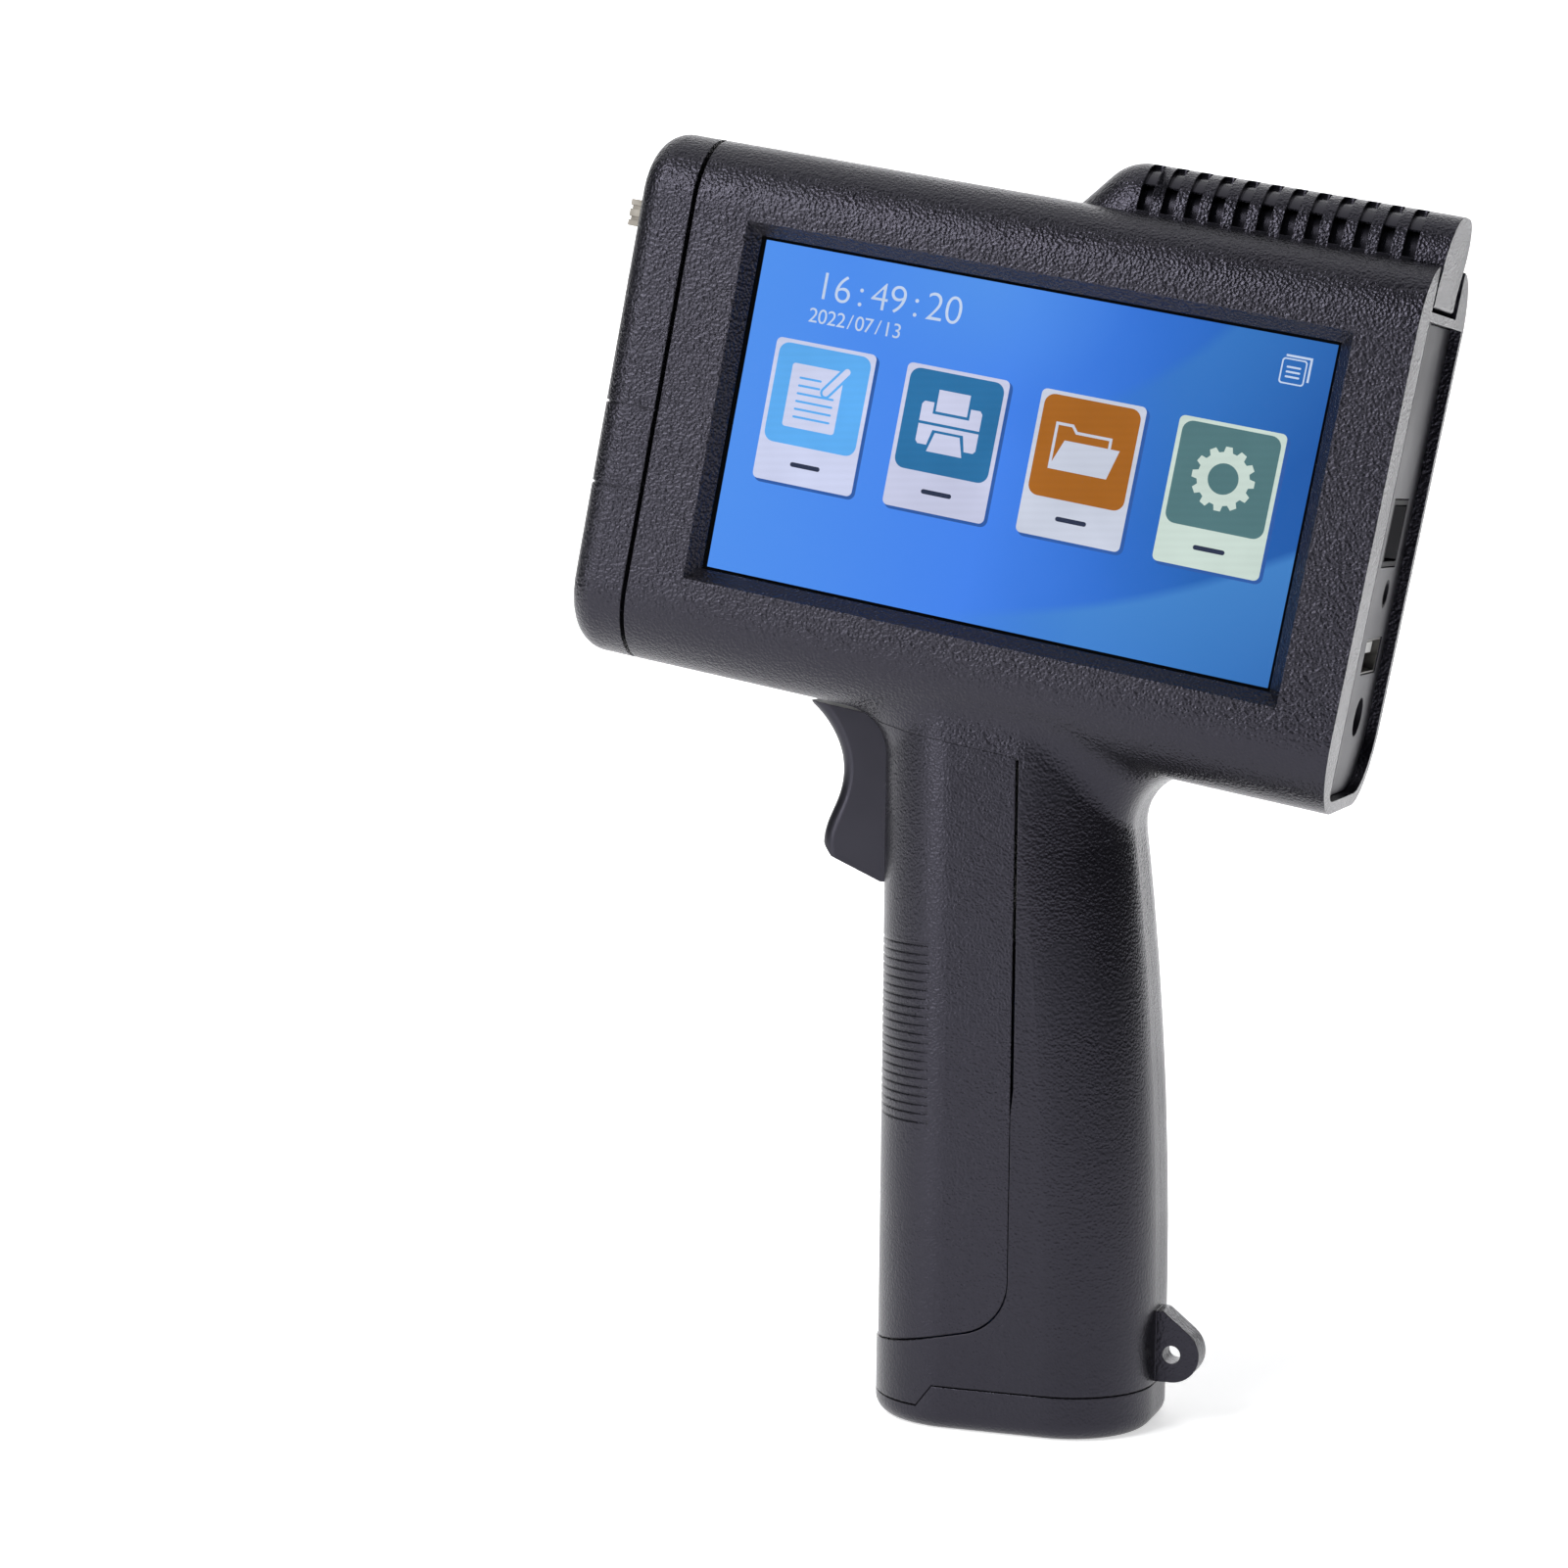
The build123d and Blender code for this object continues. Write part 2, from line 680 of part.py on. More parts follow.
# ---------------------------------------------------------------- screen
# Touch glass behind the sloped recess
with BuildPart() as touch_glass:
    head_block(
        -glass_width / 2, glass_width / 2, glass_front, glass_front + glass_thickness,
        -glass_height / 2, glass_height / 2,
    )
touch_glass.part.label = "touch_glass"
export_step(touch_glass.part, "parts/touch_glass.step")

# Display panel behind the glass
with BuildPart() as lcd_panel:
    panel_front = glass_front + glass_thickness
    head_block(
        -glass_width / 2, glass_width / 2, panel_front, panel_front + panel_thickness,
        -glass_height / 2, glass_height / 2,
    )
lcd_panel.part.label = "lcd_panel"
export_step(lcd_panel.part, "parts/lcd_panel.step")

# ---------------------------------------------------------------- print cartridge
# Ink cartridge: a tall body with a snout toward the nose
with BuildPart() as cartridge_body:
    head_block(
        cartridge_front, cartridge_rear, cartridge_near, cartridge_far, cartridge_low, cartridge_high
    )
    lengthwise = cartridge_body.edges().filter_by(Axis(head_origin, head_x))
    fillet(lengthwise, 2.5)
    head_block(
        cartridge_front - snout_length, cartridge_front + 1, cartridge_y - snout_width / 2,
        cartridge_y + snout_width / 2, snout_low, snout_high,
    )
cartridge_body.part.label = "cartridge_body"
export_step(cartridge_body.part, "parts/cartridge_body.step")

# Rear plate of the cartridge with the ear that it is pulled by
with BuildPart() as cartridge_cap:
    head_block(
        cartridge_rear, cartridge_rear + 2.5, cartridge_near + 0.4, cartridge_far - 0.4,
        cartridge_low + 0.4, cartridge_high - 0.4,
    )
    fillet(cartridge_cap.edges().filter_by(Axis(head_origin, head_x)), 2.5)
    head_block(cartridge_rear + 2, cartridge_rear + 12, cartridge_y - 7, cartridge_y + 7, 20, 22)
    head_block(cartridge_rear + 10, cartridge_rear + 12, cartridge_y - 7, cartridge_y + 7, 22, 24.5)
cartridge_cap.part.label = "cartridge_cap"
export_step(cartridge_cap.part, "parts/cartridge_cap.step")

# Plain label on the cartridge's screen side
with BuildPart() as cartridge_label:
    head_block(-50, -6, cartridge_near - 0.1, cartridge_near, -17, 24)
cartridge_label.part.label = "cartridge_label"
export_step(cartridge_label.part, "parts/cartridge_label.step")

# Nozzle plate on the end of the snout
with BuildPart() as nozzle_plate:
    nozzle_face = cartridge_front - snout_length
    head_block(
        nozzle_face - 0.6, nozzle_face, cartridge_y - snout_width / 2 + 0.5,
        cartridge_y + snout_width / 2 - 0.5, snout_low + 0.5, snout_high - 0.5,
    )
    for row in (-0.7, 0.7):
        head_block(
            nozzle_face - 0.7, nozzle_face - 0.4, cartridge_y + row - 0.15, cartridge_y + row + 0.15,
            swath_low, swath_high, mode=Mode.SUBTRACT,
        )
nozzle_plate.part.label = "nozzle_plate"
export_step(nozzle_plate.part, "parts/nozzle_plate.step")

# Contact strip under the snout
with BuildPart() as contact_flex:
    head_block(-68, -57, cartridge_y - 6.5, cartridge_y + 6.5, snout_low - 0.2, snout_low)
contact_flex.part.label = "contact_flex"
export_step(contact_flex.part, "parts/contact_flex.step")

# Open-ended sleeve that guides the cartridge, with a shelf under the snout
sleeve_gap = cradle_clearance + cradle_wall
with BuildPart() as cartridge_cradle:
    head_block(
        cartridge_front + 0.5, cartridge_rear - 0.5, cartridge_near - sleeve_gap, cartridge_far + sleeve_gap,
        cartridge_low - sleeve_gap, cartridge_high + sleeve_gap,
    )
    fillet(cartridge_cradle.edges().filter_by(Axis(head_origin, head_x)), 2.5 + cradle_wall)
    head_block(
        cartridge_front - 1, cartridge_rear + 1, cartridge_near - cradle_clearance,
        cartridge_far + cradle_clearance, cartridge_low - cradle_clearance,
        cartridge_high + cradle_clearance, mode=Mode.SUBTRACT,
    )
    head_block(
        cartridge_front - 11.5, cartridge_front + 2, cartridge_y - 7.1, cartridge_y + 7.1,
        cartridge_low - sleeve_gap, cartridge_low - cradle_clearance,
    )
cartridge_cradle.part.label = "cartridge_cradle"
export_step(cartridge_cradle.part, "parts/cartridge_cradle.step")

# Small circuit board on the shelf that carries the contact pins
contact_board_low = cartridge_low - cradle_clearance
with BuildPart() as contact_board:
    head_block(
        -67, -57, cartridge_y - 6.5, cartridge_y + 6.5, contact_board_low, contact_board_low + board_thickness
    )
contact_board.part.label = "contact_board"
export_step(contact_board.part, "parts/contact_board.step")

# Two rows of spring contact pins
with BuildPart() as contact_pins:
    with BuildSketch(top_plane(contact_board_low + board_thickness)):
        with Locations((-62, cartridge_y)):
            with GridLocations(4, 2.1, 2, 6):
                Circle(0.4)
    extrude(amount=1.4)
contact_pins.part.label = "contact_pins"
export_step(contact_pins.part, "parts/contact_pins.step")

# ---------------------------------------------------------------- electronics in the head
# Main circuit board on four posts of the far shell
with BuildPart() as main_board:
    head_block(-50, 36, board_near, board_far, -34.5, 33)
    for x, z in board_holes:
        head_depth_rod(x, z, board_screw_radius + 0.1, board_near - 1, board_far + 1, mode=Mode.SUBTRACT)
main_board.part.label = "main_board"
export_step(main_board.part, "parts/main_board.step")

# Components on the far face of the board: middle along the head, middle height, width, height, thickness
component_places = [
    (-14, 6, 14, 14, 1.4), (8, 8, 10, 12, 1.2), (8, -8, 10, 12, 1.2), (-34, 14, 8, 8, 1.8), (-34, 0, 8, 6, 1.8),
    (-14, -16, 12, 6, 1.6), (25, -10, 7, 16, 1.8), (25, 12, 7, 10, 1.8), (-30, -18, 6, 10, 1.4),
]
with BuildPart() as board_components:
    for x, z, width, height, thickness in component_places:
        head_block(
            x - width / 2, x + width / 2, board_far, board_far + thickness, z - height / 2, z + height / 2
        )
board_components.part.label = "board_components"
export_step(board_components.part, "parts/board_components.step")

# Screws that hold the main board
with BuildPart() as board_screws:
    for x, z in board_holes:
        head_depth_rod(x, z, 1.9, board_near - 0.9, board_near)
        head_depth_rod(x, z, board_screw_radius, board_near - 0.9, half_depth - wall - 0.5)
board_screws.part.label = "board_screws"
export_step(board_screws.part, "parts/board_screws.step")

# ---------------------------------------------------------------- rear end
# Port panel with a thin fence along its near edge
with BuildPart() as port_panel:
    with BuildSketch(end_plane(port_face - panel_plate)):
        add(panel_outline)
    extrude(amount=panel_plate)
    head_block(50, 65, -22, recess_near + 1, -50, 50, mode=Mode.SUBTRACT)
    head_block(port_face - 0.1, head_rear - 0.1, recess_near + 1, recess_near + 1.8, -40, recess_top - 0.2)
    head_block(
        50, 65, switch_y - switch_width / 2, switch_y + switch_width / 2, switch_z - switch_height / 2,
        switch_z + switch_height / 2, mode=Mode.SUBTRACT,
    )
    head_block(
        50, 65, usb_y - usb_width / 2 - 0.4, usb_y + usb_width / 2 + 0.4, usb_z - usb_height / 2 - 0.4,
        usb_z + usb_height / 2 + 0.4, mode=Mode.SUBTRACT,
    )
    end_rod(sensor_y, sensor_z, sensor_radius + 0.5, 50, 65, mode=Mode.SUBTRACT)
    end_rod(power_y, power_z, power_radius, 50, 65, mode=Mode.SUBTRACT)
port_panel.part.label = "port_panel"
export_step(port_panel.part, "parts/port_panel.step")

# Upright board that carries the sockets and the switch
port_board_face = port_board_x + board_thickness
with BuildPart() as port_board:
    head_block(port_board_x, port_board_face, -11, 17, -37, 9)
port_board.part.label = "port_board"
export_step(port_board.part, "parts/port_board.step")

# Body of the power switch, open toward the rear end
rocker_x = 54.0
with BuildPart() as switch_body:
    head_block(port_board_face, port_face, switch_y - 6.2, switch_y + 6.2, switch_z - 5.4, switch_z + 5.4)
    head_block(
        rocker_x - 2.6, 65, switch_y - 5.6, switch_y + 5.6, switch_z - 4.6, switch_z + 4.6, mode=Mode.SUBTRACT
    )
    with Locations(Plane(origin=head_point(rocker_x, switch_y, switch_z), x_dir=head_x, z_dir=head_z)):
        Cylinder(0.85, 10.2, mode=Mode.SUBTRACT)
switch_body.part.label = "switch_body"
export_step(switch_body.part, "parts/switch_body.step")

# Rocker of the power switch on two trunnions, at rest in one of its two positions
with BuildPart() as power_rocker:
    rocker_frame = Plane(origin=head_point(rocker_x, switch_y, switch_z), x_dir=head_x, z_dir=head_z)
    with BuildSketch(rocker_frame.rotated((0, 0, -rocker_tilt))):
        with BuildLine():
            Polyline((3.3, -5), (2.2, 0), (3.3, 5), (-0.9, 5), (-1.9, 0), (-0.9, -5), close=True)
        make_face()
    extrude(amount=4.3, both=True)
    with Locations(rocker_frame):
        Cylinder(0.8, 10)
power_rocker.part.label = "power_rocker"
export_step(power_rocker.part, "parts/power_rocker.step")

# Round sensor jack
with BuildPart() as sensor_jack:
    head_block(
        port_board_face, port_face - panel_plate, sensor_y - 3.2, sensor_y + 3.2, sensor_z - 3.2, sensor_z + 3.2
    )
    end_rod(sensor_y, sensor_z, sensor_radius + 0.4, port_face - panel_plate, port_face)
    end_rod(sensor_y, sensor_z, sensor_radius, port_face - 13, port_face + 1, mode=Mode.SUBTRACT)
sensor_jack.part.label = "sensor_jack"
export_step(sensor_jack.part, "parts/sensor_jack.step")

# Metal shell of the USB socket
with BuildPart() as usb_socket:
    head_block(
        port_board_face, port_face - 0.2, usb_y - usb_width / 2 - usb_wall, usb_y + usb_width / 2 + usb_wall,
        usb_z - usb_height / 2 - usb_wall, usb_z + usb_height / 2 + usb_wall,
    )
    head_block(
        port_board_face + 1.2, 65, usb_y - usb_width / 2, usb_y + usb_width / 2, usb_z - usb_height / 2,
        usb_z + usb_height / 2, mode=Mode.SUBTRACT,
    )
usb_socket.part.label = "usb_socket"
export_step(usb_socket.part, "parts/usb_socket.step")

# Tongue inside the USB socket
with BuildPart() as usb_tongue:
    head_block(port_board_face + 1.2, port_face - 1.2, usb_y - 5.55, usb_y + 5.55, usb_z + 0.2, usb_z + 2)
usb_tongue.part.label = "usb_tongue"
export_step(usb_tongue.part, "parts/usb_tongue.step")

# Round power jack
with BuildPart() as power_jack:
    head_block(
        port_board_face, port_face - panel_plate, power_y - 4.5, power_y + 4.5, power_z - 4.6, power_z + 4.6
    )
    end_rod(power_y, power_z, power_radius - 0.35, port_board_face + 2, 65, mode=Mode.SUBTRACT)
power_jack.part.label = "power_jack"
export_step(power_jack.part, "parts/power_jack.step")

# Centre pin of the power jack
with BuildPart() as power_jack_pin:
    end_rod(power_y, power_z, 1.0, port_board_face + 2, port_face - panel_plate - 0.3)
power_jack_pin.part.label = "power_jack_pin"
export_step(power_jack_pin.part, "parts/power_jack_pin.step")

# ---------------------------------------------------------------- trigger
# Trigger blade with a forked hub at its top
with BuildPart() as trigger:
    with BuildSketch(Plane.XZ):
        with BuildLine():
            blade = Polyline(
                (-34.2, 94.6), (-32.3, 92.2), (-23.6, trigger_low), (-18.5, trigger_low), (-17.5, 104),
                (-13.6, 109.6), (-13.6, 112.5), (-17, 116), (-23.5, 115.7), (-36.3, 118.1), (-36.1, 117.2),
            )
            Spline(blade @ 1, (-32.9, 113.4), (-31.0, 108.4), (-31.6, 102.4), (-33.6, 97.6), blade @ 0)
        make_face()
    extrude(amount=trigger_half_width, both=True)
    front_edges = trigger.faces().filter_by(Axis.Y).edges().filter_by(GeomType.BSPLINE)
    fillet(front_edges, 2.4)
    depth_rod(trigger_pin_x, trigger_pin_z, 3.5, -trigger_half_width, trigger_half_width)
    depth_rod(trigger_pin_x, trigger_pin_z, 4.0, -3, 3, mode=Mode.SUBTRACT)
    depth_rod(trigger_pin_x, trigger_pin_z, trigger_bore_radius, -10, 10, mode=Mode.SUBTRACT)
trigger.part.label = "trigger"
export_step(trigger.part, "parts/trigger.step")

# Torsion spring around the trigger pin
with BuildPart() as trigger_spring:
    with BuildLine():
        coil = Helix(
            pitch=0.88, height=4.4, radius=2.4, center=(trigger_pin_x, -2.2, trigger_pin_z), direction=(0, 1, 0)
        )
    with BuildSketch(Plane(origin=coil @ 0, z_dir=coil % 0)):
        Circle(0.3)
    sweep(is_frenet=True)
trigger_spring.part.label = "trigger_spring"
export_step(trigger_spring.part, "parts/trigger_spring.step")

# Steel pin that the trigger hangs on
with BuildPart() as trigger_pin:
    depth_rod(trigger_pin_x, trigger_pin_z, trigger_pin_radius, -9.5, 9.5)
trigger_pin.part.label = "trigger_pin"
export_step(trigger_pin.part, "parts/trigger_pin.step")

# Bracket with two cheeks that holds the trigger pin and the switch
with BuildPart() as trigger_bracket:
    for near in (-9.2, 7.6):
        grip_block(-19.3, -7, near, near + 1.6, 90, 116)
    grip_block(-8.6, -7, -9.2, 9.2, 90, 110)
    depth_rod(trigger_pin_x, trigger_pin_z, trigger_pin_radius, -12, 12, mode=Mode.SUBTRACT)
trigger_bracket.part.label = "trigger_bracket"
export_step(trigger_bracket.part, "parts/trigger_bracket.step")

# Snap-action switch behind the trigger
switch_front = -14.6
plunger_z = 93.5
with BuildPart() as trigger_switch:
    grip_block(switch_front, -8.6, -3.25, 3.25, 90, 102.8)
    with Locations(Location((switch_front, 0, plunger_z), (0, 90, 0))):
        Cylinder(1.15, 8, mode=Mode.SUBTRACT)
trigger_switch.part.label = "trigger_switch"
export_step(trigger_switch.part, "parts/trigger_switch.step")

# Plunger of the snap-action switch
with BuildPart() as switch_plunger:
    with Locations(Location((switch_front - 0.6, 0, plunger_z), (0, 90, 0))):
        Cylinder(1.1, 4.8)
    fillet(switch_plunger.edges().group_by(Axis.X)[0], 0.5)
switch_plunger.part.label = "switch_plunger"
export_step(switch_plunger.part, "parts/switch_plunger.step")

# ---------------------------------------------------------------- battery
cell_centres = [cell_x - cell_spacing / 2, cell_x + cell_spacing / 2]
cell_top = cell_low + cell_length

# Two lithium cells
with BuildPart() as battery_cells:
    with BuildSketch(Plane.XY.offset(cell_low)):
        for centre in cell_centres:
            with Locations((centre, 0)):
                Circle(cell_radius)
    extrude(amount=cell_length)
battery_cells.part.label = "battery_cells"
export_step(battery_cells.part, "parts/battery_cells.step")

# Shrink sleeve around both cells
with BuildPart() as battery_sleeve:
    with BuildSketch(Plane.XY.offset(cell_low)):
        with Locations((cell_x, 0)):
            SlotCenterToCenter(cell_spacing, 2 * (cell_radius + sleeve_wall))
            SlotCenterToCenter(cell_spacing, 2 * cell_radius, mode=Mode.SUBTRACT)
    extrude(amount=cell_length)
battery_sleeve.part.label = "battery_sleeve"
export_step(battery_sleeve.part, "parts/battery_sleeve.step")

# Nickel strip that links the cells at the bottom
with BuildPart() as battery_link:
    grip_block(cell_centres[0] - 5, cell_centres[1] + 5, -4, 4, cell_low - 0.4, cell_low)
battery_link.part.label = "battery_link"
export_step(battery_link.part, "parts/battery_link.step")

# Contact blades on top of the cells
with BuildPart() as battery_contacts:
    for centre in cell_centres:
        grip_block(centre - 3, centre + 3, -3, 3, cell_top, cell_top + 1.6)
battery_contacts.part.label = "battery_contacts"
export_step(battery_contacts.part, "parts/battery_contacts.step")

# Protection board of the battery
with BuildPart() as battery_board:
    grip_block(cell_x - 17, cell_x + 17, -8, 8, cell_top + 1.6, cell_top + 3.2)
battery_board.part.label = "battery_board"
export_step(battery_board.part, "parts/battery_board.step")
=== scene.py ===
"""Hand-held date code inkjet printer: materials, screen picture, light and camera.

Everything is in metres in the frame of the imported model: +Z up along the grip, +X toward the rear end
with the sockets, -Y toward the screen. The head is pitched nose-up, and what lies on it is placed in
the head's own frame: millimetres along the head and head-up from the display's centre.
"""

import math

import bpy
from mathutils import Matrix, Quaternion, Vector


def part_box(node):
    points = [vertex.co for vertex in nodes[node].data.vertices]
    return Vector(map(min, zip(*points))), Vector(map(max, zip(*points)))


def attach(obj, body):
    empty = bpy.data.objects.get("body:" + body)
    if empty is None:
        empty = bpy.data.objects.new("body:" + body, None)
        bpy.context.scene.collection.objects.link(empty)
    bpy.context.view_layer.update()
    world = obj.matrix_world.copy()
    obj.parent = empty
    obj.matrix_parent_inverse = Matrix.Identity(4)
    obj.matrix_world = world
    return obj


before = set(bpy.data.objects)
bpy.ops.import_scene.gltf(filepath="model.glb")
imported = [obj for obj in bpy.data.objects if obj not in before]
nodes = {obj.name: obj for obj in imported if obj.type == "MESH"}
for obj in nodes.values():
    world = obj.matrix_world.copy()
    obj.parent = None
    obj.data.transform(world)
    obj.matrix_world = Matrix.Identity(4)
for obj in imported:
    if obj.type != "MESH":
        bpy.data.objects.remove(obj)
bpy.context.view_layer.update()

# ---------------------------------------------------------------- the head's frame
MM = 0.001
HEAD_TILT = math.radians(10.5)
HEAD_X = Vector((math.cos(HEAD_TILT), 0, -math.sin(HEAD_TILT)))
HEAD_Z = Vector((math.sin(HEAD_TILT), 0, math.cos(HEAD_TILT)))
DISPLAY_CENTRE = Vector((1.1, 0, 158)) * MM
DISPLAY_WIDTH = 95.04
DISPLAY_HEIGHT = 53.86
DISPLAY_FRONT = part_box("lcd_panel")[0].y


# ---------------------------------------------------------------- materials
class Shader:
    """Builds the nodes of one material, with the object's own coordinates as the source of every pattern."""

    def __init__(self, name):
        self.material = bpy.data.materials.new(name)
        self.material.use_nodes = True
        self.tree = self.material.node_tree
        self.tree.nodes.clear()
        self.output = self.tree.nodes.new("ShaderNodeOutputMaterial")
        self.place = self.node("ShaderNodeTexCoord").outputs["Object"]

    def node(self, kind, settings=None, **sockets):
        """A new node. Sockets are named by their labels with underscores, and take a value or an output."""
        made = self.tree.nodes.new(kind)
        for key, value in (settings or {}).items():
            setattr(made, key, value)
        for label, value in sockets.items():
            self.plug(made.inputs[label.replace("_", " ")], value)
        return made

    def plug(self, socket, value):
        """Links an output to this socket, or sets the socket to a plain value."""
        if isinstance(value, bpy.types.NodeSocket):
            self.tree.links.new(value, socket)
        else:
            socket.default_value = value

    def noise(self, size_mm, detail=2.0, roughness=0.5):
        """Noise between 0 and 1 whose features are about size_mm across."""
        made = self.node(
            "ShaderNodeTexNoise", Vector=self.place, Scale=1000 / size_mm, Detail=detail, Roughness=roughness
        )
        return made.outputs["Fac"]

    def cells(self, size_mm):
        """Rounded cells about size_mm across, dark at their middles."""
        made = self.node(
            "ShaderNodeTexVoronoi", {"feature": "SMOOTH_F1"}, Vector=self.place, Scale=1000 / size_mm,
            Smoothness=0.6,
        )
        return made.outputs["Distance"]

    def spread(self, value, low, high, to_low=0.0, to_high=1.0):
        """Maps value from low..high to to_low..to_high, clamped."""
        made = self.node("ShaderNodeMapRange", {"clamp": True}, Value=value)
        for label, number in (("From Min", low), ("From Max", high), ("To Min", to_low), ("To Max", to_high)):
            made.inputs[label].default_value = number
        return made.outputs["Result"]

    def math(self, operation, a, b=0.0):
        """A sum, product or other operation on one or two numbers or outputs."""
        made = self.node("ShaderNodeMath", {"operation": operation})
        self.plug(made.inputs[0], a)
        self.plug(made.inputs[1], b)
        return made.outputs["Value"]

    def mix(self, factor, a, b):
        """Mixes two colours."""
        made = self.node("ShaderNodeMix", {"data_type": "RGBA"})
        self.plug(made.inputs["Factor"], factor)
        self.plug(made.inputs[6], a)
        self.plug(made.inputs[7], b)
        return made.outputs[2]

    def along(self, axis):
        """Millimetres from the display's centre along an axis of the head."""
        offset = self.node("ShaderNodeVectorMath", {"operation": "SUBTRACT"})
        self.plug(offset.inputs[0], self.place)
        offset.inputs[1].default_value = DISPLAY_CENTRE
        dot = self.node("ShaderNodeVectorMath", {"operation": "DOT_PRODUCT"})
        self.plug(dot.inputs[0], offset.outputs["Vector"])
        dot.inputs[1].default_value = axis / MM
        return dot.outputs["Value"]

    def ramp(self, value, stops):
        """A colour that runs through these stops, each a position and a colour, as value grows."""
        low, high = stops[0][0], stops[-1][0]
        made = self.node("ShaderNodeValToRGB", Fac=self.spread(value, low, high))
        elements = made.color_ramp.elements
        while len(elements) < len(stops):
            elements.new(0.5)
        for element, (position, colour) in zip(elements, stops):
            element.position = (position - low) / (high - low)
            element.color = colour
        return made.outputs["Color"]

    def soft_normal(self, radius_mm):
        """The surface normal with its edges rounded over."""
        return self.node("ShaderNodeBevel", {"samples": 4}, Radius=radius_mm * MM).outputs["Normal"]

    def edges(self, radius_mm):
        """1 on sharp edges and 0 on faces."""
        soft = self.soft_normal(radius_mm)
        flat = self.node("ShaderNodeNewGeometry").outputs["Normal"]
        dot = self.node("ShaderNodeVectorMath", {"operation": "DOT_PRODUCT"})
        self.plug(dot.inputs[0], soft)
        self.plug(dot.inputs[1], flat)
        return self.spread(dot.outputs["Value"], 0.995, 0.9)

    def bump(self, height, depth_mm, normal=None):
        """The surface normal, or the given one, tilted by a relief depth_mm deep."""
        made = self.node("ShaderNodeBump", Strength=1.0, Distance=depth_mm * MM, Height=height)
        if normal is not None:
            self.plug(made.inputs["Normal"], normal)
        return made.outputs["Normal"]

    def finish(self, **sockets):
        """Ends the material in a Principled shader with these inputs."""
        surface = self.node("ShaderNodeBsdfPrincipled", **sockets)
        self.tree.links.new(surface.outputs["BSDF"], self.output.inputs["Surface"])
        return self.material


def rgb(red, green, blue):
    return (red, green, blue, 1.0)


# The cool tint of the plastics' sheen, and the radii that round each finish's sharp edges
COOL_SHEEN = rgb(0.82, 0.79, 1.0)
GRAINED_EDGE_MM = 0.25
SMOOTH_EDGE_MM = 0.2
METAL_EDGE_MM = 0.12
RUBBER_EDGE_MM = 0.25
# The colour that masked places are darkened to: painted shade in the slots of the cartridge lid, and the
# darker lower part of the grip.
SLOT_SHADE_AND_GRIP_COLOUR = rgb(0.002, 0.002, 0.0025)

# The grain fades and the colour darkens from the head down to the grip between these heights, in metres
GRIP_GRAIN_LOW = 0.100
GRIP_GRAIN_HIGH = 0.120
GRIP_SMOOTHING = 0.65

# The slots across the cartridge lid, in millimetres along the head from the display's centre
LID_SLOTS = 12
LID_SLOT_FIRST = 11.3
LID_SLOT_PITCH = 3.88
LID_SLOT_WIDTH = 2.0
LID_SLOT_MARGIN = 0.012
LID_RIDGE_HALF_WIDTH = 3.0
LID_MIDDLE_Y = -2.0


def lid_slot_shade_mask(shader):
    """1 in the slots of the cartridge lid and 0 on the ridges between them: in the slots the grain is
    flattened and the colour is painted darker as shade.
    """
    past_centre = shader.math("SUBTRACT", shader.along(HEAD_X), LID_SLOT_FIRST)
    along = shader.math("DIVIDE", past_centre, LID_SLOT_PITCH)
    phase = shader.math("FRACT", shader.math("ADD", along, 0.5))
    off_middle = shader.math("ABSOLUTE", shader.math("SUBTRACT", phase, 0.5))
    in_slot = shader.math("LESS_THAN", off_middle, 0.5 * LID_SLOT_WIDTH / LID_SLOT_PITCH + LID_SLOT_MARGIN)
    depth = shader.math("SUBTRACT", shader.along(Vector((0, 1, 0))), LID_MIDDLE_Y)
    on_side = shader.math("GREATER_THAN", shader.math("ABSOLUTE", depth), LID_RIDGE_HALF_WIDTH)
    past_first = shader.math("GREATER_THAN", along, -0.5)
    before_end = shader.math("LESS_THAN", along, LID_SLOTS - 0.5)
    rows = shader.math("MULTIPLY", shader.math("MULTIPLY", past_first, before_end), on_side)
    return shader.math("MULTIPLY", in_slot, rows)


def grip_mask(shader):
    """0 on the head, growing to the share by which the grip's grain is smoothed and its colour darkened."""
    height = shader.node("ShaderNodeSeparateXYZ", Vector=shader.place).outputs["Z"]
    return shader.spread(height, GRIP_GRAIN_LOW, GRIP_GRAIN_HIGH, GRIP_SMOOTHING, 0.0)


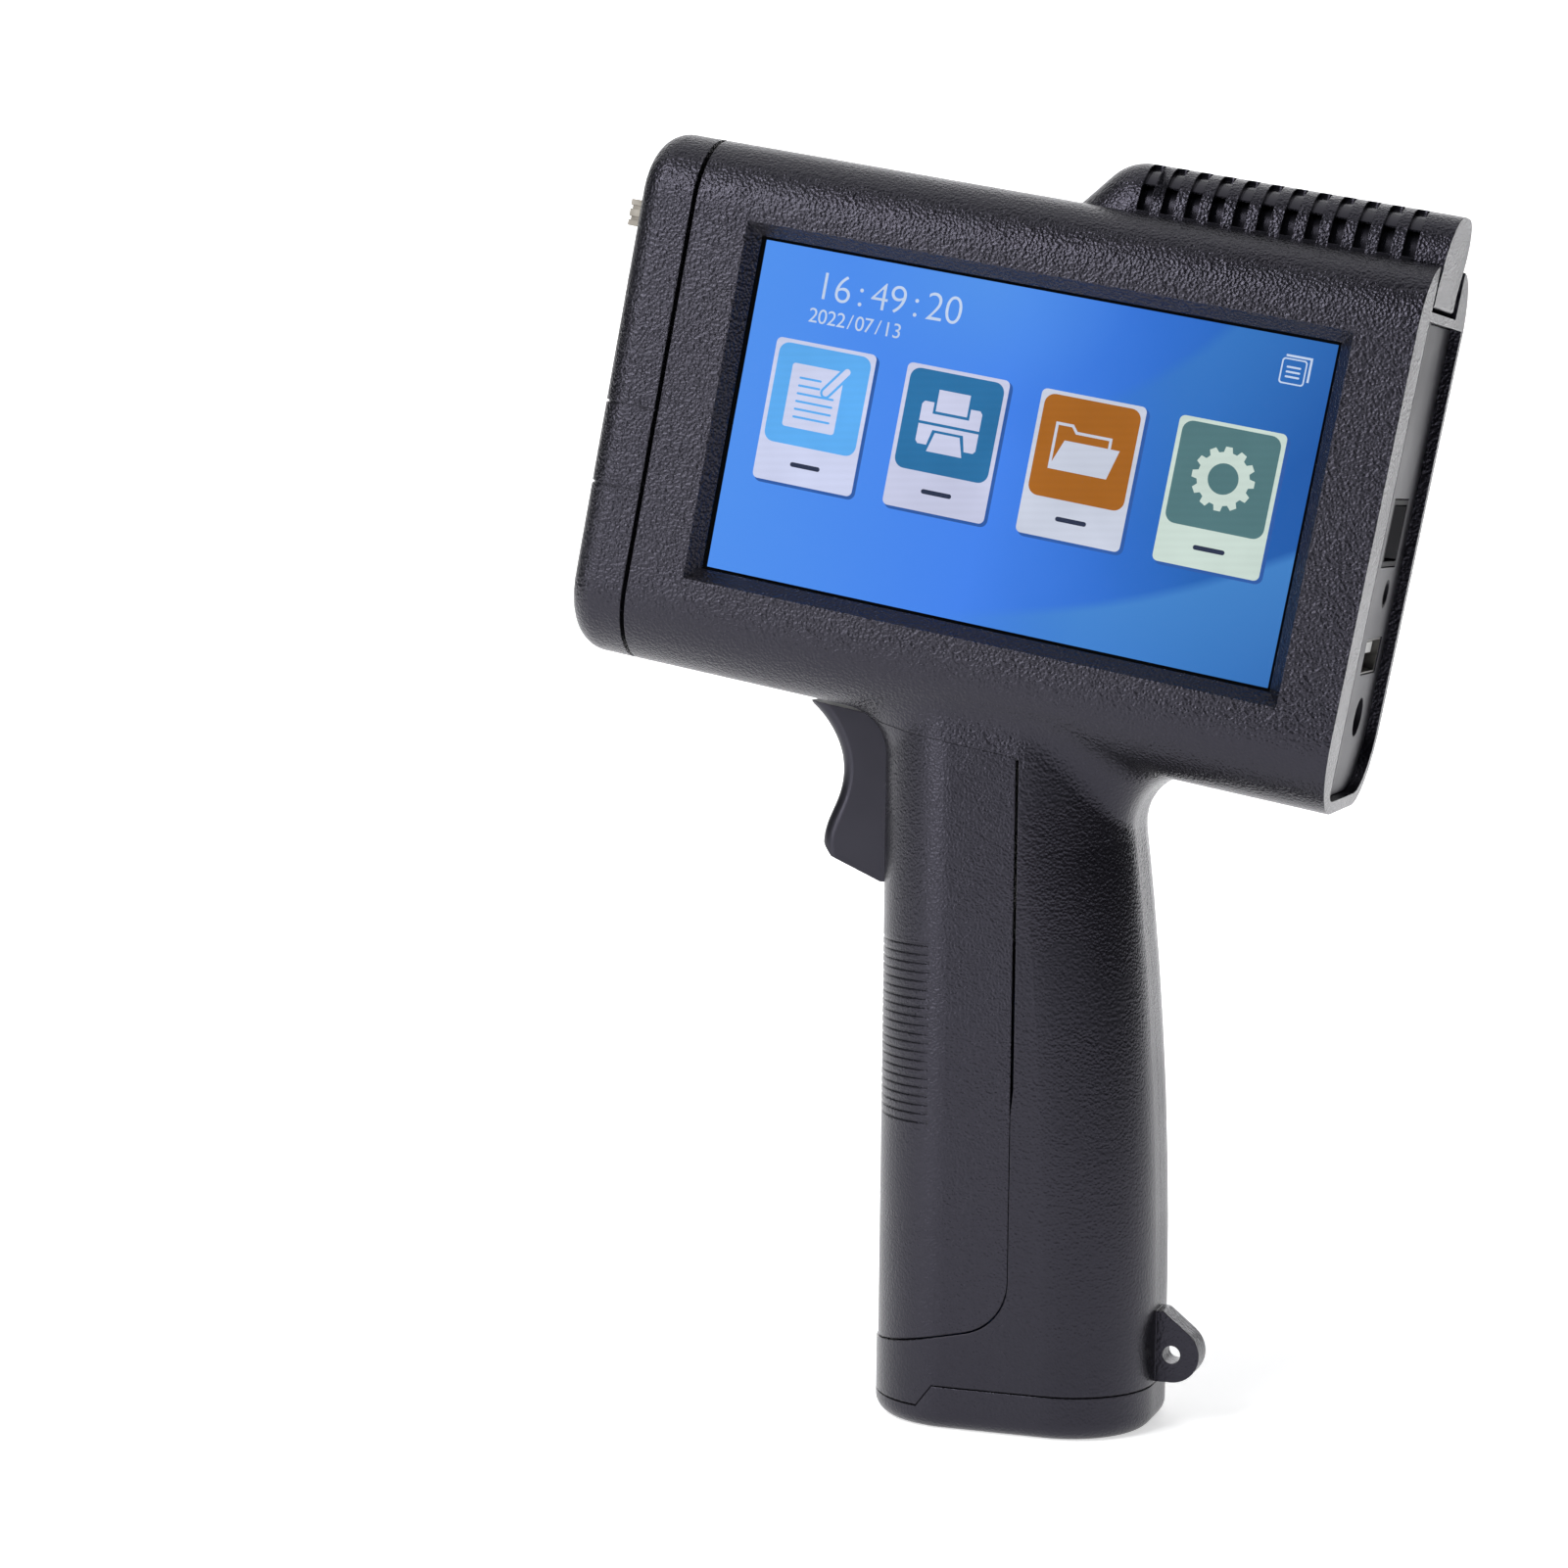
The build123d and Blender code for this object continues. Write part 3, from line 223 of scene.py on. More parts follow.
def grained_plastic(name, colour, grain_mm, grain_depth_mm, roughness, flatten_and_darken=None):
    """Moulded plastic with a spark-eroded grain, faint smudges, and sharp edges that are slightly shinier and
    painted lighter as a highlight.

    flatten_and_darken makes a mask of the places where the grain is flattened and the colour is darkest, such
    as the painted shade in the lid's slots.
    """
    shader = Shader(name)
    pebbles = shader.cells(grain_mm)
    fine = shader.noise(grain_mm * 0.6, detail=3.0)
    height = shader.math("ADD", pebbles, shader.math("MULTIPLY", fine, 0.6))
    if flatten_and_darken is not None:
        grained = shader.math("SUBTRACT", 1.0, flatten_and_darken(shader))
        height = shader.math("MULTIPLY", height, grained)
    normal = shader.bump(height, grain_depth_mm, normal=shader.soft_normal(GRAINED_EDGE_MM))
    # The sharp edges are a little shinier, and their colour is painted lighter there as a highlight.
    edge_highlight_and_polish = shader.edges(GRAINED_EDGE_MM * 1.2)
    smudge = shader.noise(22.0, detail=4.0)
    tint = shader.spread(smudge, 0.3, 0.7)
    light = tuple(min(1.0, c * 1.35) for c in colour)
    base = shader.mix(tint, rgb(*colour), rgb(*light))
    # Painted highlight colour for the sharp edges, much lighter than the plastic.
    edge_highlight_colour = tuple(min(1.0, c * 2.4 + 0.006) for c in colour)
    base = shader.mix(shader.math("MULTIPLY", edge_highlight_and_polish, 0.55), base, rgb(*edge_highlight_colour))
    # Masked places take the darker colour: painted shade in the lid's slots, and a darker lower grip.
    if flatten_and_darken is not None:
        base = shader.mix(grained, SLOT_SHADE_AND_GRIP_COLOUR, base)
    rough = shader.spread(smudge, 0.25, 0.75, roughness - 0.05, roughness + 0.06)
    rough = shader.math("SUBTRACT", rough, shader.math("MULTIPLY", edge_highlight_and_polish, 0.12))
    return shader.finish(Base_Color=base, Roughness=rough, Normal=normal, Specular_Tint=COOL_SHEEN)


def smooth_plastic(name, colour, roughness, speckle_mm=0.3, depth_mm=0.004, gloss=0.5):
    """Fine satin plastic with a barely visible texture."""
    shader = Shader(name)
    fine = shader.noise(speckle_mm, detail=3.0)
    cloud = shader.noise(14.0, detail=3.0)
    normal = shader.bump(fine, depth_mm, normal=shader.soft_normal(SMOOTH_EDGE_MM))
    light = tuple(min(1.0, c * 1.3) for c in colour)
    base = shader.mix(shader.spread(cloud, 0.3, 0.7), rgb(*colour), rgb(*light))
    rough = shader.spread(cloud, 0.25, 0.75, roughness - 0.05, roughness + 0.05)
    return shader.finish(
        Base_Color=base, Roughness=rough, Normal=normal, Specular_Tint=COOL_SHEEN, Specular_IOR_Level=gloss
    )


BRUSH_MARK = Vector((8.0, 0.25, 0.25))


def worn_metal(name, colour, roughness):
    """Metal with fine brushing along one direction and cloudy tarnish."""
    shader = Shader(name)
    stretch = shader.node("ShaderNodeVectorMath", {"operation": "DIVIDE"})
    shader.plug(stretch.inputs[0], shader.place)
    stretch.inputs[1].default_value = BRUSH_MARK * MM
    lines = shader.node("ShaderNodeTexNoise", Vector=stretch.outputs["Vector"], Scale=1.0, Detail=3.0)
    cloud = shader.noise(3.0, detail=3.0)
    dull = tuple(c * 0.7 for c in colour)
    base = shader.mix(shader.spread(cloud, 0.35, 0.7), rgb(*dull), rgb(*colour))
    rough = shader.spread(lines.outputs["Fac"], 0.3, 0.7, roughness - 0.08, roughness + 0.1)
    normal = shader.bump(lines.outputs["Fac"], 0.003, normal=shader.soft_normal(METAL_EDGE_MM))
    return shader.finish(Base_Color=base, Metallic=1.0, Roughness=rough, Normal=normal)


def rubber(name, colour):
    """Soft matt rubber with dust in its pores."""
    shader = Shader(name)
    pores = shader.noise(0.18, detail=4.0)
    dust = shader.spread(shader.noise(2.5, detail=4.0), 0.4, 0.7)
    pale = tuple(min(1.0, c * 1.25 + 0.03) for c in colour)
    base = shader.mix(dust, rgb(*colour), rgb(*pale))
    normal = shader.bump(pores, 0.01, normal=shader.soft_normal(RUBBER_EDGE_MM))
    return shader.finish(Base_Color=base, Roughness=0.82, Normal=normal)


def board_green(name):
    """Circuit board: solder mask over tracks that show as a raised pattern."""
    shader = Shader(name)
    tracks = shader.node(
        "ShaderNodeTexVoronoi", {"distance": "CHEBYCHEV", "feature": "DISTANCE_TO_EDGE"}, Vector=shader.place,
        Scale=420.0,
    ).outputs["Distance"]
    line = shader.spread(tracks, 0.02, 0.05)
    base = shader.mix(line, rgb(0.02, 0.16, 0.08), rgb(0.006, 0.07, 0.035))
    normal = shader.bump(line, 0.02)
    return shader.finish(Base_Color=base, Roughness=0.35, Normal=normal)


def paper(name, colour):
    """Plain coated label with a faint fibre pattern."""
    shader = Shader(name)
    fibre = shader.noise(0.35, detail=5.0, roughness=0.7)
    shade = tuple(c * 0.93 for c in colour)
    base = shader.mix(shader.spread(fibre, 0.35, 0.65), rgb(*shade), rgb(*colour))
    return shader.finish(Base_Color=base, Roughness=0.5, Normal=shader.bump(fibre, 0.006))


def cover_glass(name):
    """Clear glass with faint smears."""
    shader = Shader(name)
    smear = shader.noise(16.0, detail=5.0)
    rough = shader.spread(smear, 0.45, 0.75, 0.015, 0.06)
    return shader.finish(
        Base_Color=rgb(0.97, 0.985, 1.0), Roughness=rough, Transmission_Weight=1.0, IOR=1.46
    )


# The display: its own brightness, its faint rows and the share that its brightness drifts by
SCREEN_LIGHT = 1.0
SCREEN_ROW_SCALE = 250.0
SCREEN_ROW_DEPTH = 0.03
SCREEN_DRIFT = 0.12


def glowing(shader, base, light):
    """Ends a material of the display, which gives its own light and doesn't mirror the room."""
    return shader.finish(
        Base_Color=base, Roughness=0.6, Specular_IOR_Level=0.0, Emission_Color=light,
        Emission_Strength=SCREEN_LIGHT,
    )


def lit_screen(name, colour):
    """A lit area of the display, with faint rows and a slow change of brightness."""
    shader = Shader(name)
    wave = shader.node(
        "ShaderNodeTexWave", {"wave_type": "BANDS", "bands_direction": "Z"}, Vector=shader.place,
        Scale=SCREEN_ROW_SCALE,
    )
    cloud = shader.spread(shader.noise(12.0), 0.3, 0.7, 1 - SCREEN_DRIFT, 1.0)
    rows = shader.spread(wave.outputs["Fac"], 0, 1, -SCREEN_ROW_DEPTH, 0.0)
    lit = shader.mix(shader.math("ADD", cloud, rows), rgb(0, 0, 0), rgb(*colour))
    return glowing(shader, rgb(0.004, 0.004, 0.005), lit)


def wallpaper(name):
    """The blue picture behind the cards: a slow gradient with two large curved sweeps of light."""
    shader = Shader(name)
    across, up = shader.along(HEAD_X), shader.along(HEAD_Z)

    def distance(x, z):
        """Distance in millimetres from a point on the display."""
        dx = shader.math("SUBTRACT", across, x)
        dz = shader.math("SUBTRACT", up, z)
        square = shader.math("ADD", shader.math("MULTIPLY", dx, dx), shader.math("MULTIPLY", dz, dz))
        return shader.math("SQRT", square)

    drift = shader.spread(shader.noise(26.0), 0.0, 1.0, -7.0, 7.0)
    colour = shader.ramp(shader.math("ADD", across, drift), [
        (-48.0, rgb(0.087, 0.295, 0.88)), (-2.0, rgb(0.062, 0.235, 0.86)), (18.0, rgb(0.036, 0.172, 0.66)),
        (34.0, rgb(0.022, 0.132, 0.47)), (48.0, rgb(0.018, 0.108, 0.40)),
    ])
    # a pale cloud of light at the top, left of the middle
    glow = shader.spread(distance(-9.0, 31.0), 24.0, 2.0)
    colour = shader.mix(shader.math("MULTIPLY", glow, 0.5), colour, rgb(0.12, 0.36, 0.82))
    # the upper sweep is brightest along an arc that climbs to the top edge, and fades away from it
    upper_edge = distance(-14.0, 62.0)
    upper = shader.math(
        "MULTIPLY", shader.spread(upper_edge, 55.8, 57.8), shader.spread(upper_edge, 80.0, 57.5)
    )
    upper = shader.math("MULTIPLY", upper, shader.spread(across, 8.0, 26.0))
    colour = shader.mix(shader.math("MULTIPLY", upper, 0.75), colour, rgb(0.045, 0.20, 0.56))
    # the lower sweep lies below an arc that runs from the bottom middle to the right edge
    lower_edge = distance(-30.0, 118.0)
    lower = shader.math(
        "MULTIPLY", shader.spread(lower_edge, 145.2, 146.8), shader.spread(lower_edge, 182.0, 147.0)
    )
    lower = shader.math("MULTIPLY", lower, shader.spread(across, -8.0, 16.0))
    colour = shader.mix(shader.math("MULTIPLY", lower, 0.7), colour, rgb(0.072, 0.27, 0.64))
    return glowing(shader, rgb(0.004, 0.004, 0.006), colour)


CASING = (0.0045, 0.0044, 0.0056)
materials = {
    "casing": grained_plastic("casing", CASING, 0.5, 0.145, 0.26, flatten_and_darken=grip_mask),
    "grip": grained_plastic("grip_casing", CASING, 0.45, 0.06, 0.27),
    # The lid's slots are painted darker as shade.
    "lid": grained_plastic("lid_casing", CASING, 0.45, 0.12, 0.25, flatten_and_darken=lid_slot_shade_mask),
    "trigger": smooth_plastic("trigger_plastic", (0.006, 0.006, 0.0072), 0.3),
    "panel": smooth_plastic("panel_plastic", (0.008, 0.008, 0.009), 0.4, speckle_mm=0.4, depth_mm=0.02),
    "switch": smooth_plastic("switch_plastic", (0.005, 0.005, 0.0055), 0.5, gloss=0.12),
    "inner": smooth_plastic("inner_plastic", (0.012, 0.012, 0.013), 0.55, gloss=0.2),
    "cradle": smooth_plastic("cradle_plastic", (0.09, 0.09, 0.092), 0.55),
    "white": smooth_plastic("white_plastic", (0.62, 0.62, 0.6), 0.45),
    "chip": smooth_plastic("chip_black", (0.02, 0.02, 0.021), 0.6),
    "wheel": rubber("wheel_rubber", (0.24, 0.22, 0.19)),
    "board": board_green("circuit_board"),
    "label": paper("label_paper", (0.84, 0.84, 0.82)),
    "steel": worn_metal("steel", (0.56, 0.57, 0.58), 0.28),
    "screws": worn_metal("zinc_screws", (0.36, 0.36, 0.38), 0.38),
    # The nickel's colour is painted far darker than bare nickel, as the shade inside the sockets.
    "nickel": worn_metal("nickel", (0.17, 0.165, 0.155), 0.4),
    "gold": worn_metal("gold_plate", (0.83, 0.6, 0.24), 0.3),
    "sleeve": smooth_plastic("sleeve_film", (0.02, 0.09, 0.36), 0.25),
    "cell": smooth_plastic("cell_wrap", (0.04, 0.28, 0.14), 0.3),
    "glass": cover_glass("cover_glass"),
    "display_edge": smooth_plastic("display_edge", (0.006, 0.006, 0.007), 0.3),
}
NODE_MATERIALS = {
    "casing": ("front_shell", "rear_shell", "nose_cap"),
    "grip": ("grip_cover", "base_cap"),
    "lid": ("cartridge_lid",),
    "trigger": ("trigger",),
    "panel": ("port_panel",),
    "switch": ("switch_body", "power_rocker"),
    "inner": ("cartridge_body", "cartridge_cap", "sensor_jack", "power_jack"),
    "cradle": ("cartridge_cradle", "trigger_bracket"),
    "white": ("usb_tongue", "switch_plunger"),
    "chip": ("board_components", "trigger_switch"),
    "wheel": ("measuring_wheel",),
    "board": ("contact_board", "main_board", "port_board", "battery_board"),
    "label": ("cartridge_label",),
    "steel": ("wheel_pin", "lid_hinge_pin", "trigger_spring", "trigger_pin"),
    "screws": ("shell_screws", "board_screws"),
    "nickel": ("usb_socket", "power_jack_pin", "battery_link", "battery_contacts"),
    "gold": ("contact_flex", "contact_pins", "nozzle_plate"),
    "sleeve": ("battery_sleeve",),
    "cell": ("battery_cells",),
    "glass": ("touch_glass",),
    "display_edge": ("lcd_panel",),
}
for finish, names in NODE_MATERIALS.items():
    for node_name in names:
        mesh = nodes[node_name].data
        mesh.materials.clear()
        mesh.materials.append(materials[finish])


# ---------------------------------------------------------------- flat shapes on the display
DISPLAY_MATRIX = Matrix((
    (HEAD_X.x, HEAD_Z.x, 0.0, DISPLAY_CENTRE.x),
    (0.0, 0.0, -1.0, DISPLAY_FRONT),
    (HEAD_X.z, HEAD_Z.z, 0.0, DISPLAY_CENTRE.z),
    (0.0, 0.0, 0.0, 1.0),
))
PLATE_THICKNESS = 0.02


def rounded_box(x, z, width, height, radius, steps=6):
    """Outline of a rounded rectangle about (x, z), in millimetres."""
    outline = []
    for corner, (sx, sz) in enumerate(((1, 1), (-1, 1), (-1, -1), (1, -1))):
        cx = x + sx * (width / 2 - radius)
        cz = z + sz * (height / 2 - radius)
        for step in range(steps + 1):
            angle = math.radians(90 * corner + 90 * step / steps)
            outline.append((cx + radius * math.cos(angle), cz + radius * math.sin(angle)))
    return outline


def circle(x, z, radius, steps=32):
    turn = 2 * math.pi / steps
    return [(x + radius * math.cos(i * turn), z + radius * math.sin(i * turn)) for i in range(steps)]


def bar(x0, z0, x1, z1, width):
    """Outline of a straight stroke with round ends."""
    angle = math.atan2(z1 - z0, x1 - x0)
    outline = []
    for cx, cz, start in ((x1, z1, angle - math.pi / 2), (x0, z0, angle + math.pi / 2)):
        for step in range(9):
            turn = start + math.pi * step / 8
            outline.append((cx + width / 2 * math.cos(turn), cz + width / 2 * math.sin(turn)))
    return outline


def place_piece(mesh, name, lift, material):
    """Makes a flat mesh, drawn in millimetres, a piece that stands off the display by lift millimetres."""
    mesh.name = name
    mesh.transform(DISPLAY_MATRIX @ Matrix.Translation((0, 0, lift * MM)) @ Matrix.Scale(MM, 4))
    mesh.materials.clear()
    mesh.materials.append(material)
    piece = bpy.data.objects.new(name, mesh)
    bpy.context.scene.collection.objects.link(piece)
    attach(piece, "housing")


def curve_mesh(curve):
    """The mesh that Blender makes of a curve or a text."""
    helper = bpy.data.objects.new(curve.name + "_outline", curve)
    bpy.context.scene.collection.objects.link(helper)
    graph = bpy.context.evaluated_depsgraph_get()
    mesh = bpy.data.meshes.new_from_object(helper.evaluated_get(graph))
    bpy.data.objects.remove(helper)
    return mesh


def flat_piece(name, loops, lift, material):
    """A thin plate with these outlines. A loop inside another is a hole."""
    curve = bpy.data.curves.new(name, "CURVE")
    curve.dimensions = "2D"
    curve.fill_mode = "BOTH"
    curve.extrude = PLATE_THICKNESS / 2
    for loop in loops:
        spline = curve.splines.new("POLY")
        spline.points.add(len(loop) - 1)
        for point, (x, z) in zip(spline.points, loop):
            point.co = (x, z, 0, 1)
        spline.use_cyclic_u = True
    place_piece(curve_mesh(curve), name, lift, material)


def glyph_mesh(name, digit, weight):
    """The flat mesh of one character of size 1, with its foot at height 0."""
    curve = bpy.data.curves.new(name, "FONT")
    curve.body = digit
    curve.offset = weight
    return curve_mesh(curve)


def digits_piece(name, digits, x, z, height, pitch, weight):
    """A line of evenly spaced digits: the first one's cell starts at x, and their feet stand at z."""
    vertices, faces = [], []
    scale = height / max(vertex.co.y for vertex in glyph_mesh(name, "8", weight).vertices)
    for place, digit in enumerate(digits):
        glyph = glyph_mesh(name, digit, weight)
        across = [vertex.co.x for vertex in glyph.vertices]
        middle = (min(across) + max(across)) / 2
        cell_middle = x + (place + 0.5) * pitch
        start = len(vertices)
        for vertex in glyph.vertices:
            vertices.append((cell_middle + (vertex.co.x - middle) * scale, z + vertex.co.y * scale, 0))
        faces += [[start + index for index in polygon.vertices] for polygon in glyph.polygons]
    mesh = bpy.data.meshes.new(name)
    mesh.from_pydata(vertices, [], faces)
    place_piece(mesh, name, CARD_LIFT, text_material)


# How far each layer of the picture stands off the display, in millimetres like all its measures
WALLPAPER_LIFT = 0.03
SHADOW_LIFT = 0.05
CARD_LIFT = 0.07
TILE_LIFT = 0.09
ICON_LIFT = 0.11
FOLDER_FRONT_LIFT = 0.12
PEN_EDGE_LIFT = 0.125
PEN_LIFT = 0.14

ink_material = lit_screen("card_ink", (0.03, 0.04, 0.08))
text_material = lit_screen("clock_white", (0.62, 0.74, 0.95))
shadow_material = lit_screen("card_shadow", (0.035, 0.12, 0.42))

flat_piece(
    "screen_wallpaper", [rounded_box(0, 0, DISPLAY_WIDTH, DISPLAY_HEIGHT, 0.05, 1)], WALLPAPER_LIFT,
    wallpaper("screen_wallpaper"),
)
digits_piece("screen_clock", "16:49:20", x=-37.8, z=19.15, height=4.4, pitch=3.15, weight=-0.012)
digits_piece("screen_date", "2022/07/13", x=-38.1, z=15.3, height=2.3, pitch=1.6, weight=0.0)

CARD_PITCH = 22.67
CARD_FIRST = -34.0
CARD_Z = 0.5
CARD_WIDTH = 17.3
CARD_HEIGHT = 23.1
CARD_CORNER = 0.9
TILE_Z = 3.35
TILE_WIDTH = 15.9
TILE_HEIGHT = 16.2
TILE_CORNER = 1.7
SHADOW_RIGHT = 0.45
SHADOW_DOWN = 0.35
SHADOW_MARGIN = 0.3
SHADOW_CORNER = 1.2
CAPTION_Z = -7.8
CAPTION_HALF_LENGTH = 2.2
CAPTION_THICKNESS = 0.75
TILE_COLOURS = [(0.125, 0.46, 0.97), (0.028, 0.178, 0.40), (0.43, 0.145, 0.018), (0.095, 0.205, 0.22)]
CARD_COLOURS = [(0.68, 0.72, 0.95), (0.65, 0.67, 0.87), (0.65, 0.69, 0.81), (0.66, 0.78, 0.71)]


def sheet_icon(x, z):
    """A sheet with lines of writing as gaps."""
    loops = [rounded_box(x - 0.7, z - 0.1, 9.0, 10.3, 0.5)]
    for row in range(6):
        line_z = z + 2.85 - 1.27 * row
        line_end = x if row < 2 else x + 2.6
        loops.append(bar(x - 3.5, line_z, line_end, line_z, 0.36))
    return loops


def pen_icon(x, z, width):
    """A pen that leans to the right over the corner of the sheet."""
    return [bar(x + 1.2, z + 1.2, x + 4.2, z + 5.1, width)]


def both_sides(x, z, right_half):
    """A symmetric outline about (x, z), given the points of its right half from the middle of one end."""
    left = [(x - dx, z + dz) for dx, dz in right_half]
    right = [(x + dx, z + dz) for dx, dz in reversed(right_half)]
    return left + right


def printer_icon(x, z):
    """A printer seen from the front: paper, upper body notched around it, lower body and printed sheet."""
    paper_sheet = both_sides(x, z, [(2.65, 1.75), (2.65, 5.25)])
    upper = both_sides(x, z, [(5.1, -0.1), (5.1, 2.6), (4.7, 3.1), (3.1, 3.1), (3.1, 1.3)])
    lower = both_sides(x, z, [(5.1, -0.55), (5.1, -3.3), (4.7, -3.75), (3.2, -3.75), (2.6, -1.25)])
    printed_sheet = both_sides(x, z, [(3.0, -4.75), (2.1, -1.65)])
    return paper_sheet, upper, lower, printed_sheet


def folder_icon(x, z):
    """An open folder: the rim of its back with a tab, and its front, which leans forward."""
    back = [
        (-5.4, -3.5), (-5.4, 3.9), (-2.5, 3.9), (-1.7, 2.9), (4.1, 2.9), (4.1, 1.2),
        (3.65, 1.2), (3.65, 2.45), (-1.9, 2.45), (-2.7, 3.45), (-4.95, 3.45), (-4.95, -3.5),
    ]
    front = [(-5.4, -3.55), (-3.5, 1.2), (5.6, 1.2), (4.3, -3.55)]
    return [[(x + dx, z + dz) for dx, dz in outline] for outline in (back, front)]


def gear_icon(x, z, teeth=12, outer=5.05, inner=4.2, hole=2.45):
    """A gear wheel with flat-topped teeth and a round hole."""
    outline = []
    step = 2 * math.pi / teeth
    for tooth in range(teeth):
        for turn, radius in ((-0.33, inner), (-0.2, outer), (0.2, outer), (0.33, inner)):
            angle = (tooth + turn) * step
            outline.append((x + radius * math.cos(angle), z + radius * math.sin(angle)))
    return [outline, circle(x, z, hole)]


card_x = [CARD_FIRST + step * CARD_PITCH for step in range(4)]
card_materials = []
for number, (x, tile_colour, card_colour) in enumerate(zip(card_x, TILE_COLOURS, CARD_COLOURS), start=1):
    card_material = lit_screen(f"card_{number}_colour", card_colour)
    card_materials.append(card_material)
    shadow = rounded_box(
        x + SHADOW_RIGHT, CARD_Z - SHADOW_DOWN, CARD_WIDTH + SHADOW_MARGIN, CARD_HEIGHT + SHADOW_MARGIN,
        SHADOW_CORNER,
    )
    flat_piece(f"card_{number}_shadow", [shadow], SHADOW_LIFT, shadow_material)
    card = rounded_box(x, CARD_Z, CARD_WIDTH, CARD_HEIGHT, CARD_CORNER)
    flat_piece(f"card_{number}", [card], CARD_LIFT, card_material)
    tile = rounded_box(x, TILE_Z, TILE_WIDTH, TILE_HEIGHT, TILE_CORNER)
    tile_material = lit_screen(f"tile_{number}_colour", tile_colour)
    flat_piece(f"tile_{number}", [tile], TILE_LIFT, tile_material)
    caption = bar(x - CAPTION_HALF_LENGTH, CAPTION_Z, x + CAPTION_HALF_LENGTH, CAPTION_Z, CAPTION_THICKNESS)
    flat_piece(f"caption_{number}", [caption], TILE_LIFT, ink_material)
    if number == 1:
        flat_piece("icon_pen_edge", pen_icon(x, TILE_Z, 1.9), PEN_EDGE_LIFT, tile_material)

sheet_x, printer_x, folder_x, gear_x = card_x
sheet_white, printer_white, folder_white, gear_white = card_materials
flat_piece("icon_sheet", sheet_icon(sheet_x, TILE_Z), ICON_LIFT, sheet_white)
flat_piece("icon_pen", pen_icon(sheet_x, TILE_Z, 1.1), PEN_LIFT, sheet_white)
PRINTER_NAMES = ("icon_printer_paper", "icon_printer_top", "icon_printer_body", "icon_printed_sheet")
for name, outline in zip(PRINTER_NAMES, printer_icon(printer_x, TILE_Z)):
    flat_piece(name, [outline], ICON_LIFT, printer_white)
folder_back, folder_front = folder_icon(folder_x, TILE_Z)
flat_piece("icon_folder_back", [folder_back], ICON_LIFT, folder_white)
flat_piece("icon_folder_front", [folder_front], FOLDER_FRONT_LIFT, folder_white)
flat_piece("icon_gear", gear_icon(gear_x, TILE_Z + 0.1), ICON_LIFT, gear_white)

# The small mark at the top right: a framed page with three lines, and the corner of another behind it
PAGE_X = 41.4
PAGE_Z = 21.65
page_frame = [rounded_box(PAGE_X, PAGE_Z, 4.0, 4.0, 0.5), rounded_box(PAGE_X, PAGE_Z, 3.55, 3.55, 0.35)]
page_behind = [(-1.5, 2.3), (-1.5, 2.55), (2.7, 2.55), (2.7, -1.25), (2.35, -1.25), (2.35, 2.2), (-1.5, 2.2)]
page_behind = [(PAGE_X + dx, PAGE_Z + dz) for dx, dz in page_behind]
page_lines = []
for row in range(3):
    line_z = PAGE_Z + 0.65 - 0.75 * row
    page_lines.append(bar(PAGE_X - 1.0, line_z, PAGE_X + 1.0, line_z, 0.3))
flat_piece("icon_layers_front", page_frame, CARD_LIFT, text_material)
flat_piece("icon_layers_back", [page_behind], CARD_LIFT, text_material)
flat_piece("icon_layers_mark", page_lines, CARD_LIFT, text_material)


# ---------------------------------------------------------------- stage, light and camera
# The stage's edges and the radius of its bend, in metres. It ends close on the right, so that the surfaces
# that face that way mirror the darker surround.
STAGE_LEFT = -5.0
STAGE_RIGHT = 0.72
STAGE_FRONT = -0.9
STAGE_BACK = 3.2
STAGE_HEIGHT = 5.0
STAGE_BEND = 1.6
BEND_STEPS = 12
STAGE_GLOW = 0.6


def build_stage():
    """A pale floor that sweeps up into a backdrop far behind the object."""
    bend_start = STAGE_BACK - STAGE_BEND
    profile = [(STAGE_FRONT, 0.0), (bend_start, 0.0)]
    for step in range(1, BEND_STEPS + 1):
        angle = math.radians(90 * step / BEND_STEPS)
        profile.append((bend_start + STAGE_BEND * math.sin(angle), STAGE_BEND - STAGE_BEND * math.cos(angle)))
    profile.append((STAGE_BACK, STAGE_HEIGHT))
    vertices = [(side, y, z) for y, z in profile for side in (STAGE_LEFT, STAGE_RIGHT)]
    faces = [(2 * i, 2 * i + 1, 2 * i + 3, 2 * i + 2) for i in range(len(profile) - 1)]
    mesh = bpy.data.meshes.new("floor")
    mesh.from_pydata(vertices, [], faces)
    for polygon in mesh.polygons:
        polygon.use_smooth = True
    shader = Shader("floor_pale")
    cloud = shader.noise(400.0)
    colour = shader.mix(cloud, rgb(0.90, 0.90, 0.90), rgb(0.93, 0.93, 0.93))
    mesh.materials.append(shader.finish(
        Base_Color=colour, Roughness=0.9, Emission_Color=rgb(1.0, 1.0, 1.0), Emission_Strength=STAGE_GLOW
    ))
    stage = bpy.data.objects.new("floor", mesh)
    bpy.context.scene.collection.objects.link(stage)


